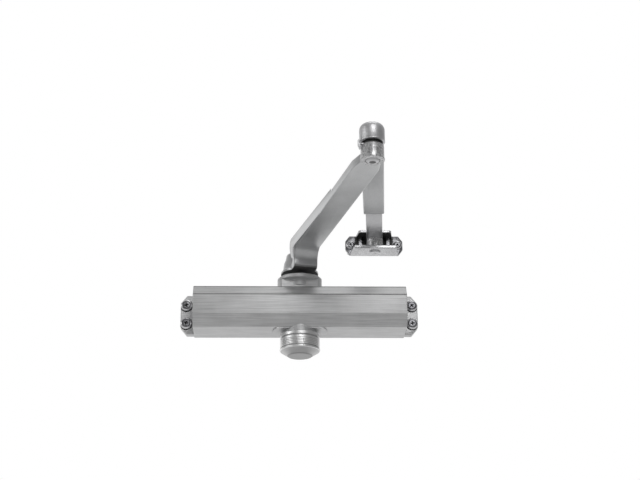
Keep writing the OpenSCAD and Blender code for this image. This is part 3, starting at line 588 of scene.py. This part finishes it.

# ---- Main arm ----
# A flat steel bar cranked up off its hub, with a round boss at the elbow. The hub has a
# square hole for the pinion and a collar round the screw, and the bar flares where it meets
# the hub. The bar is smooth, the boss rough cast, both painted, and painted shade darkens
# the underside of the hub and of its bend.
arm_angle = 13.3
arm_reach = 251.8 * MM
arm_turn = Matrix.Translation(axle) @ spin(arm_angle - 90, "Z")
elbow = arm_turn @ Vector((arm_reach, 0, 0))
arm_half = 12.25 * MM
hub_z, hub_top, arm_z, arm_top = 38 * MM, 48 * MM, 57 * MM, 65 * MM
toe_x, bend_x, bend_z = 14 * MM, 33 * MM, 50 * MM
arm_paint = metal_finish("arm_paint", (0.60, 0.605, 0.61), (0.46, 0.465, 0.47), 0.34, 0.78,
                         0.6 * MM, 0.02 * MM, (1, 1, 1), 0.25)
cast_paint = metal_finish("cast_paint", (0.76, 0.76, 0.76), (0.24, 0.24, 0.25), 0.34, 0.85,
                          1.5 * MM, 0.22 * MM, (1, 1, 1), 0.3, 0.1)


def swept(middle, radius, first, last, steps):
    """Points (along, height) on an arc, from one angle in degrees to another."""
    turns = [math.radians(first + (last - first) * step / steps) for step in range(steps + 1)]
    return [(middle[0] + radius * math.cos(turn), middle[1] + radius * math.sin(turn)) for turn in turns]


def slab(name, outline, half_width):
    """A slab whose side outline is drawn from (along, height) points, then pulled out across."""
    bpy.ops.object.select_all(action="DESELECT")
    bpy.ops.mesh.primitive_plane_add(size=1)
    made = bpy.context.object
    made.name = made.data.name = name
    bpy.ops.object.mode_set(mode="EDIT")
    bpy.ops.mesh.select_mode(type="VERT")
    bpy.ops.mesh.merge(type="CENTER")
    bpy.ops.transform.translate(value=(outline[0][0], -half_width, outline[0][1]))
    for (along_from, high_from), (along_to, high_to) in zip(outline, outline[1:]):
        step = (along_to - along_from, 0, high_to - high_from)
        bpy.ops.mesh.extrude_vertices_move(TRANSFORM_OT_translate={"value": step})
    bpy.ops.mesh.select_all(action="SELECT")
    bpy.ops.mesh.edge_face_add()
    bpy.ops.mesh.extrude_region_move(TRANSFORM_OT_translate={"value": (0, 2 * half_width, 0)})
    bpy.ops.mesh.select_all(action="SELECT")
    bpy.ops.mesh.normals_make_consistent(inside=False)
    bpy.ops.object.mode_set(mode="OBJECT")
    return made


tip_x, neck_x = arm_reach - 5 * MM, arm_reach - 21 * MM
inner_bend = swept((37.5 * MM, 45 * MM), 12 * MM, 180, 90, 12)
under_side = [(4 * MM, hub_z)] + swept((21.0 * MM, hub_z + 4.5 * MM), 4.5 * MM, -90, 0, 8)
under_side += inner_bend + [(tip_x, arm_z)]
upper_side = [(tip_x, arm_top)] + swept((bend_x, bend_z), 15 * MM, 90, 180, 12)
upper_side += swept((toe_x, bend_z), 4 * MM, 0, -90, 6)[1:] + [(4 * MM, hub_z + 8 * MM)]
arm = slab("cranked_arm", under_side + upper_side, arm_half)
for side in (-1, 1):
    pare(arm, (neck_x, side * arm_half, 0), (2.9, side * 16, 0))
ease(arm, 1.1 * MM, 3)
arm.data.materials.append(arm_paint)
hub = turned("hub", (0, 0),
             [(18.4 * MM, hub_z), (19 * MM, hub_z + 0.6 * MM), (19 * MM, hub_z + 2.6 * MM),
              (17.6 * MM, hub_z + 3.8 * MM), (16.8 * MM, hub_z + 5.5 * MM),
              (16.4 * MM, hub_z + 9.0 * MM), (15.9 * MM, hub_z + 12.0 * MM),
              (14.7 * MM, hub_z + 15.0 * MM), (13.9 * MM, hub_z + 18.0 * MM),
              (13.5 * MM, hub_z + 20.4 * MM), (12.9 * MM, hub_z + 21.2 * MM)])
hub.data.materials.append(arm_paint)
root_x, root_end = 15 * MM, 165 * MM
flare_side = inner_bend + [(root_end, arm_z), (root_end, arm_top - 0.1 * MM)]
flare_side += swept((bend_x, bend_z), 14.9 * MM, 90, 180, 12)
flare = slab("flare", flare_side, 3.5 * MM)
flare.data.transform(Matrix.Translation((0, -arm_half - 3.3 * MM, 0)))
pare(flare, (root_x, -arm_half, 45 * MM), (0.030, -1, -0.27))
ease(flare, 0.4 * MM)
flare.data.materials.append(arm_paint)
boss_low = arm_z - 0.5 * MM
elbow_boss = turned("elbow_boss", (arm_reach, 0),
                    [(9.9 * MM, boss_low), (10.5 * MM, boss_low + 0.1 * MM),
                     (10.8 * MM, boss_low + 0.5 * MM), (10.8 * MM, boss_low + 1.0 * MM),
                     (10.4 * MM, boss_low + 1.4 * MM), (10.3 * MM, boss_low + 2.0 * MM),
                     (10.3 * MM, arm_z + 12.4 * MM), (9.9 * MM, arm_z + 13.4 * MM),
                     (9.4 * MM, arm_z + 13.6 * MM)])
elbow_boss.data.materials.append(cast_paint)
weld(arm, hub, flare, elbow_boss)
drill(arm, bar("screw_room", "Z", (0, 0, 0), 10.8 * MM, hub_top, 70 * MM, 96))
square = 6.05 * MM
drill(arm, block("square_hole", (-square, -square, 30 * MM), (square, square, 56 * MM)),
      bar("pin_hole", "Z", (arm_reach, 0, 0), 4.52 * MM, 50 * MM, 80 * MM, 48))
# A shallow ring cut round the pin, lined with painted shade.
pin_ring = drill(bar("pin_ring", "Z", (arm_reach, 0, 0), 6.7 * MM, 50 * MM, arm_z - 0.1 * MM, 64),
                 bar("pin_seat", "Z", (arm_reach, 0, 0), 6.1 * MM, 49 * MM, 60 * MM, 64))
drill(arm, pin_ring, lining=groove_shade)
# Painted shade under the hub: dark grey on the sloping bend, black below.
painted_shade_z = 44 * MM
coat(arm, groove_shade, lambda face: face.center.z < painted_shade_z and -0.75 < face.normal.z < -0.45)
coat(arm, black_shade, lambda face: face.center.z < painted_shade_z and face.normal.z < -0.75
     or face.center.z < hub_z + 0.6 * MM)
arm.data.transform(arm_turn)
only(arm)
bpy.ops.object.shade_smooth_by_angle(angle=math.radians(32))
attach(arm, "pinion_and_arm")
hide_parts("main_arm")

# ---- Arm washer and screw ----
# A hex screw with a plain washer, both plated steel. They hold the arm down on the square
# of the pinion.
washer = turned("hub_washer", (0, 0), [(9.6 * MM, hub_top), (10 * MM, hub_top + 0.3 * MM),
                                       (10 * MM, hub_top + 1.7 * MM), (9.7 * MM, hub_top + 2 * MM)])
drill(washer, bar("screw_way", "Z", (0, 0, 0), 4.2 * MM, 40 * MM, 60 * MM, 48))
washer.data.transform(arm_turn)
set_off(washer, "pinion_and_arm", ["arm_washer"], plated)

seat = hub_top + 2 * MM
hex_head = turned("hub_screw", (0, 0), [(7.5 * MM, seat), (7.5 * MM, seat + 5 * MM)], 6)
crown = turned("crown", (0, 0), [(7.3 * MM, seat - 0.1 * MM), (9 * MM, seat + 0.9 * MM),
                                 (7.6 * MM, seat + 4.2 * MM), (6.4 * MM, seat + 5.1 * MM)], 64)
finish_with(hex_head, "BOOLEAN", operation="INTERSECT", object=crown, solver="EXACT")
bpy.data.objects.remove(crown)
weld(hex_head, threaded("thread", 3.95 * MM, seat - 16 * MM, seat + 0.2 * MM))
hex_head.data.transform(arm_turn)
set_off(hex_head, "pinion_and_arm", ["arm_screw"], plated)

# ---- Elbow pin ----
# The steel pin riveted into the end of the main arm. Its domed head shows below, dimpled by
# the rivet punch, and its upper end is grooved for the clip inside the elbow head.
satin_steel = metal_finish("satin_steel", (0.72, 0.72, 0.73), (0.54, 0.54, 0.55), 0.47, 1.0,
                           0.3 * MM, 0.012 * MM, (0.05, 0.05, 1))
pin_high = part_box("elbow_pin")[1]
pin_r, clip_z = 4.5 * MM, pin_high.z - 2 * MM
pin = turned("elbow_rivet_pin", (elbow.x, elbow.y),
             [(1.2 * MM, arm_z - 1.3 * MM), (2.4 * MM, arm_z - 1.5 * MM), (3.0 * MM, arm_z - 1.85 * MM),
              (3.9 * MM, arm_z - 1.75 * MM), (5.1 * MM, arm_z - 1.3 * MM), (5.9 * MM, arm_z - 0.7 * MM),
              (6.2 * MM, arm_z - 0.2 * MM), (6.2 * MM, arm_z), (pin_r, arm_z + 0.01 * MM),
              (pin_r, clip_z), (3.5 * MM, clip_z + 0.05 * MM), (3.5 * MM, clip_z + 0.95 * MM),
              (pin_r, clip_z + 1 * MM), (pin_r, pin_high.z - 0.4 * MM), (4.1 * MM, pin_high.z)], 64)
pin.data.materials.append(satin_steel)
# The punch dimple is painted with shade.
coat(pin, groove_shade, lambda face: face.center.z < arm_z - 1.2 * MM
     and (face.center.xy - elbow.xy).length < 2.9 * MM)
set_off(pin, "pinion_and_arm", ["elbow_pin"], satin_steel, 40)

# ---- Elbow washer ----
# A plated thrust washer between the boss and the head. One ear is folded down beside the
# boss and up past the head, so that the washer can't turn. The ring is painted black as shade.
zinc = metal_finish("zinc_plate", (0.74, 0.74, 0.75), (0.36, 0.36, 0.37), 0.38, 1.0,
                    1.3 * MM, 0.015 * MM, cloud=0.2)
ring_low = 70.6 * MM
thrust = turned("eared_washer", (0, 0), [(7.8 * MM, ring_low), (8.0 * MM, ring_low + 0.3 * MM),
                                         (8.0 * MM, ring_low + 2.4 * MM), (7.8 * MM, ring_low + 2.7 * MM)])
# Painted black shade on the ring.
thrust.data.materials.append(black_shade)
ear, ear_out = 1.5 * MM, 12.9 * MM
strip = block("ear_strip", (6.5 * MM, -ear, ring_low + 0.02 * MM), (ear_out, ear, ring_low + 1.0 * MM))
tab = block("ear_tab", (11.1 * MM, -ear, ring_low - 4.4 * MM), (ear_out, ear, ring_low + 0.9 * MM))
pare(tab, (11.6 * MM, 0, ring_low - 4.4 * MM), (3.8, 0, -1.6))
flag = block("ear_flag", (12.2 * MM, -ear, ring_low - 0.5 * MM), (ear_out, ear, ring_low + 4.2 * MM))
for folded in (strip, tab, flag):
    folded.data.materials.append(zinc)
weld(thrust, strip, tab, flag)
drill(thrust, bar("pin_way", "Z", (0, 0, 0), 4.55 * MM, 60 * MM, 80 * MM, 48))
ease(thrust, 0.2 * MM)
thrust.data.transform(Matrix.Translation((elbow.x, elbow.y, 0)) @ spin(196, "Z"))
set_off(thrust, "pinion_and_arm", ["elbow_washer"], zinc)

# ---- Elbow head ----
# The domed steel socket that turns on the elbow pin over a bronze bushing. It is turned,
# with a flat shank that reaches into the channel, and a plug closes its top.
head_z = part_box("forearm_head")[0].z
shoe_low, shoe_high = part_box("shoe_pin")
shoe_pivot = (shoe_low + shoe_high) / 2
reach = Vector((shoe_pivot.x - elbow.x, shoe_pivot.y - elbow.y, 0))
forearm_turn = (Matrix.Translation((elbow.x, elbow.y, 0))
                @ Matrix.Rotation(math.atan2(reach.y, reach.x), 4, "Z"))
head_r, crown_r = 11.2 * MM, 4.8 * MM
dome_z, dome_rise = 85.0 * MM, 6.3 * MM
steps = [(head_r - 1.7 * MM, head_z), (head_r, head_z + 0.4 * MM), (head_r + 0.15 * MM, head_z + 0.7 * MM),
         (head_r + 0.15 * MM, head_z + 1.1 * MM), (head_r - 0.25 * MM, head_z + 1.45 * MM),
         (head_r - 0.25 * MM, head_z + 1.75 * MM), (head_r, head_z + 2.1 * MM)]
for step in range(10):
    lean = math.radians(step * 8.5)
    steps.append((crown_r + (head_r - crown_r) * math.cos(lean), dome_z + dome_rise * math.sin(lean)))
head = turned("elbow_socket", (0, 0), steps)
head.data.materials.append(satin_steel)
shank_half, shank_top = 7.25 * MM, 86.7 * MM
shank = block("shank", (4 * MM, -shank_half, 81.1 * MM), (44 * MM, shank_half, shank_top))
ease(shank, 0.5 * MM)
weld(head, shank)
drill(head, bar("bushing_seat", "Z", (0, 0, 0), 6.52 * MM, 70 * MM, clip_z - 0.4 * MM, 64),
      bar("clip_room", "Z", (0, 0, 0), 6.7 * MM, clip_z - 0.5 * MM, clip_z + 2.9 * MM, 64),
      bar("plug_seat", "Z", (0, 0, 0), 5.22 * MM, clip_z, 95 * MM, 64))
rivet_spots, rivet_hole_r = (22 * MM, 36 * MM), 2.52 * MM
for spot in rivet_spots:
    drill(head, bar("rivet_hole", "Z", (spot, 0, 0), rivet_hole_r, 80 * MM, 90 * MM, 32))
# The underside of the head is painted black as shade.
coat(head, black_shade, lambda face: face.center.z < head_z + 0.05 * MM)
head.data.transform(forearm_turn)
set_off(head, "forearm", ["forearm_head"], satin_steel, 40)

plug = turned("socket_plug", (elbow.x, elbow.y),
              [(5.0 * MM, pin_high.z + 0.3 * MM), (5.2 * MM, pin_high.z + 0.6 * MM), (5.2 * MM, 91.1 * MM),
               (4.9 * MM, 91.3 * MM), (3.4 * MM, 91.5 * MM), (1.6 * MM, 91.6 * MM)], 64)
set_off(plug, "forearm", ["head_plug"], satin_steel, 40)

# ---- Forearm channel ----
# Steel sheet folded into a channel that opens upward, painted. The shank of the elbow head
# is riveted into one end, and the rod slides in the other.
channel_low_z, channel_top = 79.2 * MM, 89.6 * MM
channel_half, wall = 10.25 * MM, 1.9 * MM
channel_start, channel_end = 12.4 * MM, 179 * MM
sheet_paint = metal_finish("sheet_paint", (0.55, 0.555, 0.56), (0.42, 0.425, 0.43), 0.38, 0.8,
                           0.4 * MM, 0.02 * MM, (1, 0.05, 1), 0.2)
channel = block("folded_channel", (channel_start - 3 * MM, -channel_half, channel_low_z),
                (channel_end + 3 * MM, channel_half, channel_top + 3 * MM))
ease(channel, 1.3 * MM, 4)
pare(channel, (0, 0, channel_top), (0, 0, 1))
pare(channel, (channel_end, 0, 0), (1, 0, 0))
pare(channel, (channel_start, 0, 0), (-1, 0, 0))
trough = block("trough", (channel_start - 1 * MM, wall - channel_half, channel_low_z + wall),
               (channel_end + 1 * MM, channel_half - wall, channel_top + 5 * MM))
drill(channel, trough)
for side in (-1, 1):
    corner = block("corner", (-3 * MM, -3 * MM, -3 * MM), (3 * MM, 3 * MM, 3 * MM))
    spot = (channel_start, side * (channel_half + 2.1 * MM), channel_top)
    corner.data.transform(Matrix.Translation(spot) @ spin(45, "Y"))
    drill(channel, corner)
for spot in rivet_spots:
    drill(channel, bar("rivet_hole", "Z", (spot, 0, 0), rivet_hole_r, 75 * MM, 90 * MM, 32))
ease(channel, 0.18 * MM)
channel.data.transform(forearm_turn)
set_off(channel, "forearm", ["forearm_channel"], sheet_paint)

# ---- Forearm rivets ----
# Two steel rivets through the web of the channel and the shank. Their heads lie inside the
# channel, and their lower ends are closed flush with the web.
for number, spot in enumerate(rivet_spots):
    rivet = turned("channel_rivet_%d" % (number + 1), (spot, 0),
                   [(2.2 * MM, channel_low_z), (2.5 * MM, channel_low_z + 0.3 * MM),
                    (2.5 * MM, shank_top), (4.1 * MM, 86.71 * MM), (4.1 * MM, 87.1 * MM),
                    (3.5 * MM, 88 * MM), (2.4 * MM, 88.5 * MM)], 48)
    rivet.data.transform(forearm_turn)
    set_off(rivet, "forearm", ["forearm_rivets"], satin_steel, 40)

# ---- Clamp block ----
# A steel block welded across the open side of the channel, over the rod. It is painted
# with the channel, and tapped for the two clamp screws.
clamp_low, clamp_high, clamp_top = 156 * MM, 178 * MM, 92.8 * MM
clamp_plate = block("clamp_bridge", (clamp_low, -channel_half, channel_top),
                    (clamp_high, channel_half, clamp_top))
ease(clamp_plate, 0.5 * MM)
weld(clamp_plate, block("key", (clamp_low + 0.02 * MM, -8.3 * MM, 86.55 * MM),
                        (clamp_high - 0.02 * MM, 8.3 * MM, channel_top + 1 * MM)))
clamp_spots = (clamp_low + 6 * MM, clamp_high - 6 * MM)
for spot in clamp_spots:
    drill(clamp_plate, bar("tapped_hole", "Z", (spot, 0, 0), 3.02 * MM, 80 * MM, 99 * MM, 48))
clamp_plate.data.transform(forearm_turn)
set_off(clamp_plate, "forearm", ["clamp_block"], sheet_paint)

# ---- Clamp screws ----
# Two black steel socket screws in the clamp block. They press on the rod and fix the
# length of the forearm.
black_steel = metal_finish("black_steel", (0.075, 0.075, 0.08), (0.04, 0.04, 0.045), 0.42, 0.6,
                           0.4 * MM, 0.012 * MM)
socket_screw = turned("screw_pattern", (0, 0), [(4.5 * MM, clamp_top), (4.8 * MM, 93.1 * MM),
                                                (4.8 * MM, 96.2 * MM), (4.3 * MM, 96.8 * MM)], 64)
weld(socket_screw, threaded("thread", 2.98 * MM, 86.2 * MM, 92.9 * MM))
drill(socket_screw, bar("hex_socket", "Z", (0, 0, 0), 2.9 * MM, 94.2 * MM, 99 * MM, 6))
for number, spot in enumerate(clamp_spots):
    placed = forearm_turn @ Matrix.Translation((spot, 0, 0)) @ spin(17 + 24 * number, "Z")
    screw = copied(socket_screw, "clamp_screw_%d" % (number + 1), placed)
    set_off(screw, "forearm", ["clamp_screws"], black_steel, 40)
bpy.data.objects.remove(socket_screw)

# ---- Forearm rod ----
# The flat steel rod that slides in the channel, painted, with a round eye of rough cast
# steel welded on its end. A bushing in the eye turns on the shoe pin.
rod_z, rod_half = 81.15 * MM, 8.25 * MM
rod_end = reach.length
rod_paint = metal_finish("rod_paint", (0.62, 0.62, 0.63), (0.50, 0.50, 0.51), 0.34, 0.85,
                         0.4 * MM, 0.016 * MM, (0.06, 1, 1), 0.15)
rod = block("flat_rod", (109 * MM, -rod_half, rod_z), (rod_end, rod_half, rod_z + 5 * MM))
ease(rod, 0.7 * MM)
eye_round = turned("eye", (rod_end, 0), [(8.2 * MM, 71.75 * MM), (8.6 * MM, 72.15 * MM),
                                         (8.6 * MM, 85.85 * MM), (8.2 * MM, 86.25 * MM)], 80)
rod.data.materials.append(rod_paint)
eye_round.data.materials.append(cast_paint)
weld(rod, eye_round)
drill(rod, bar("bushing_seat", "Z", (rod_end, 0, 0), 5.52 * MM, 60 * MM, 95 * MM, 64))
rod.data.transform(forearm_turn)
set_off(rod, "rod", ["forearm_rod"], rod_paint)

# ---- Frame shoe ----
# The bracket screwed to the door frame: a base plate with cut corners, a deep lower shelf
# and a shorter ear above, which hold the pin between them. It is pressed steel, zinc
# plated, and painted shade darkens what faces in between the shelf and the ear.
bracket_low, bracket_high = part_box("shoe_bracket")
shelf_top, ear_low = bracket_low.z + 3.4 * MM, bracket_high.z - 2.8 * MM
x, y = shoe_pivot.x, shoe_pivot.y
base_half = (bracket_high.x - bracket_low.x) / 2
ear_front, plate, shoe_screw_out = y - 7.6 * MM, 3 * MM, 24.5 * MM
bracket = block("frame_shoe", (bracket_low.x, -plate, bracket_low.z), (bracket_high.x, 0, bracket_high.z))
for side in (-1, 1):
    for level, edge in ((-1, bracket_low.z), (1, bracket_high.z)):
        pare(bracket, (x + side * (base_half - 4.5 * MM), 0, edge), (side * 6, 0, level * 4.5))
ease(bracket, 0.5 * MM)
shelf = block("shelf", (x - 25.5 * MM, bracket_low.y, bracket_low.z), (x + 25.5 * MM, -1 * MM, shelf_top))
top_ear = block("top_ear", (x - 19 * MM, ear_front, ear_low), (x + 19 * MM, -1 * MM, bracket_high.z))
for side in (-1, 1):
    pare(shelf, (x + side * 21.5 * MM, bracket_low.y, 0), (side * 24.5, -4, 0))
    pare(top_ear, (x + side * 17 * MM, ear_front + 2 * MM, 0), (side * 16, -2, 0))
    pare(top_ear, (x + side * 15 * MM, ear_front, 0), (side * 1, -1, 0))
ease(shelf, 0.6 * MM, 3)
ease(top_ear, 0.6 * MM, 3)
gussets = [block("gusset", (x + side * 14.5 * MM - 1.5 * MM, -7 * MM, shelf_top - 1 * MM),
                 (x + side * 14.5 * MM + 1.5 * MM, -1 * MM, ear_low + 1 * MM))
           for side in (-1, 1)]
weld(bracket, shelf, top_ear, *gussets)
bracket.data.materials.append(zinc)
dark_half = 20 * MM


def shoe_shaded_face(face):
    """True for the faces between the shelf and the ear that get painted shade."""
    spot, out = face.center, face.normal
    between = shelf_top + 0.01 * MM < spot.z < ear_low + 0.1 * MM
    return between and (abs(out.x) > 0.9 and abs(spot.x - x) < dark_half or out.z < -0.9
                        or out.y < -0.9 and spot.y > -4 * MM)


def gusset_edge(face):
    """True for the front edges of the gussets, which get painted shade."""
    spot, out = face.center, face.normal
    return out.y < -0.9 and -8 * MM < spot.y < -6 * MM and shelf_top < spot.z < ear_low


only(bracket)
bpy.ops.object.mode_set(mode="EDIT")
for side in (-1, 1):
    bpy.ops.mesh.select_all(action="SELECT")
    bpy.ops.mesh.bisect(plane_co=(x + side * dark_half, 0, 0), plane_no=(1, 0, 0))
bpy.ops.object.mode_set(mode="OBJECT")
# Painted shade: dark grey on the gusset fronts and the outer parts, black in the middle.
coat(bracket, plate_painted_shade, lambda face: gusset_edge(face)
     or shoe_shaded_face(face) and abs(face.center.x - x) > dark_half)
coat(bracket, black_shade, lambda face: shoe_shaded_face(face) and abs(face.center.x - x) < dark_half)
drill(bracket, bar("pin_way", "Z", (x, y, 0), 4.02 * MM, 60 * MM, 99 * MM, 48))
shoe_screws_low, shoe_screws_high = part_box("shoe_screws")
shoe_screw_z = (shoe_screws_low.z + shoe_screws_high.z) / 2
for side in (-1, 1):
    spot = (x + side * shoe_screw_out, 0, shoe_screw_z)
    drill(bracket, bar("screw_hole", "Y", spot, 2.8 * MM, -5 * MM, 1 * MM, 32))
set_off(bracket, "shoe", ["shoe_bracket"], zinc)

# ---- Shoe pin ----
# A plated pin pushed up through the shoe and the eye, with a tapered head below and a
# groove for its clip above.
pin_top = shoe_high.z
collar_r, stem_r, groove_r = 5.9 * MM, 4 * MM, 3.2 * MM
shoe_pin = turned("shoe_pivot_pin", (x, y),
                  [(1.4 * MM, shoe_low.z + 0.5 * MM), (1.9 * MM, shoe_low.z + 0.1 * MM),
                   (4.6 * MM, shoe_low.z), (5.1 * MM, shoe_low.z + 0.3 * MM),
                   (collar_r, bracket_low.z - 0.3 * MM), (collar_r, bracket_low.z),
                   (stem_r, bracket_low.z + 0.01 * MM), (stem_r, bracket_high.z + 0.1 * MM),
                   (groove_r, bracket_high.z + 0.15 * MM), (groove_r, bracket_high.z + 1.05 * MM),
                   (stem_r, bracket_high.z + 1.1 * MM), (stem_r, pin_top - 0.4 * MM),
                   (3.6 * MM, pin_top)], 64)
set_off(shoe_pin, "shoe", ["shoe_pin"], zinc, 40)

# ---- Shoe screws ----
# Two pan-head screws with crossed recesses, plated like those of the body. They hold the
# shoe to the door frame.
pattern = pan_screw("screw_pattern", 2.7 * MM, plate, 2.5 * MM, 25 * MM, 4.5 * MM, 3 * MM)
for side, turn in ((-1, 25), (1, -25)):
    spot = Matrix.Translation((x + side * shoe_screw_out, -plate, shoe_screw_z))
    screw = copied(pattern, "shoe_screw_%s" % ("right" if side > 0 else "left"),
                   spot @ spin(90, "X") @ spin(turn, "Z"))
    set_off(screw, "shoe", ["shoe_screws"], plated, 38)
bpy.data.objects.remove(pattern)

# ---- Inner works ----
# What the castings hide keeps its CAD form: ground and turned steel, sintered bronze and
# rubber seals.
ground_steel = metal_finish("ground_steel", (0.66, 0.66, 0.67), (0.52, 0.52, 0.53), 0.24, 1.0,
                            0.25 * MM, 0.006 * MM, (1, 1, 0.1))
bronze = metal_finish("sintered_bronze", (0.66, 0.48, 0.25), (0.48, 0.33, 0.15), 0.44, 0.95,
                      0.35 * MM, 0.03 * MM)
rubber = metal_finish("seal_rubber", (0.035, 0.035, 0.035), (0.018, 0.018, 0.018), 0.6, 0.0,
                      0.4 * MM, 0.02 * MM)
inner_finishes = (
    (turned_steel, ("lower_gland", "check_retainer", "spring_seat", "power_screw")),
    (ground_steel, ("pinion_shaft", "piston", "check_ball")),
    (bronze, ("upper_bearing", "lower_bearing", "elbow_bushing", "shoe_bushing")),
    (black_steel, ("elbow_clip", "shoe_pin_clip")),
    (rubber, ("spring_plug_seal", "front_plug_seal", "power_screw_seal", "upper_shaft_seal",
              "lower_shaft_seal", "sweep_valve_seal", "latch_valve_seal", "backcheck_valve_seal")))
for finish, names in inner_finishes:
    for name in names:
        node = frame["nodes"][name]
        if not node.material_slots:
            node.data.materials.append(finish)
        for held in node.material_slots:
            held.material = finish

# ---- Springs ----
# Two coil springs of oil-dark wire, one inside the other, between the seat and the piston.
# Each is the CAD coil with its corners merged.
spring_wire = metal_finish("spring_wire", (0.26, 0.26, 0.28), (0.16, 0.16, 0.17), 0.36, 1.0,
                           0.5 * MM, 0.01 * MM)
travel = next(joint["range_m"][1] for joint in frame["record"]["behaviour"]["joints"]
              if joint["name"] == "piston_slide")
for name in ("outer", "inner"):
    coil_low, coil_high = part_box(name + "_spring")
    coil = bpy.data.objects.new(name + "_coil", frame["nodes"][name + "_spring"].data.copy())
    bpy.context.scene.collection.objects.link(coil)
    coil.data.materials.clear()
    only(coil)
    bpy.ops.object.mode_set(mode="EDIT")
    bpy.ops.mesh.select_all(action="SELECT")
    bpy.ops.mesh.remove_doubles(threshold=0.001 * MM)
    bpy.ops.object.mode_set(mode="OBJECT")
    set_off(coil, "piston_group", [name + "_spring"], spring_wire, 60)
    1 - travel / (coil_high.x - coil_low.x)
    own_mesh(coil)
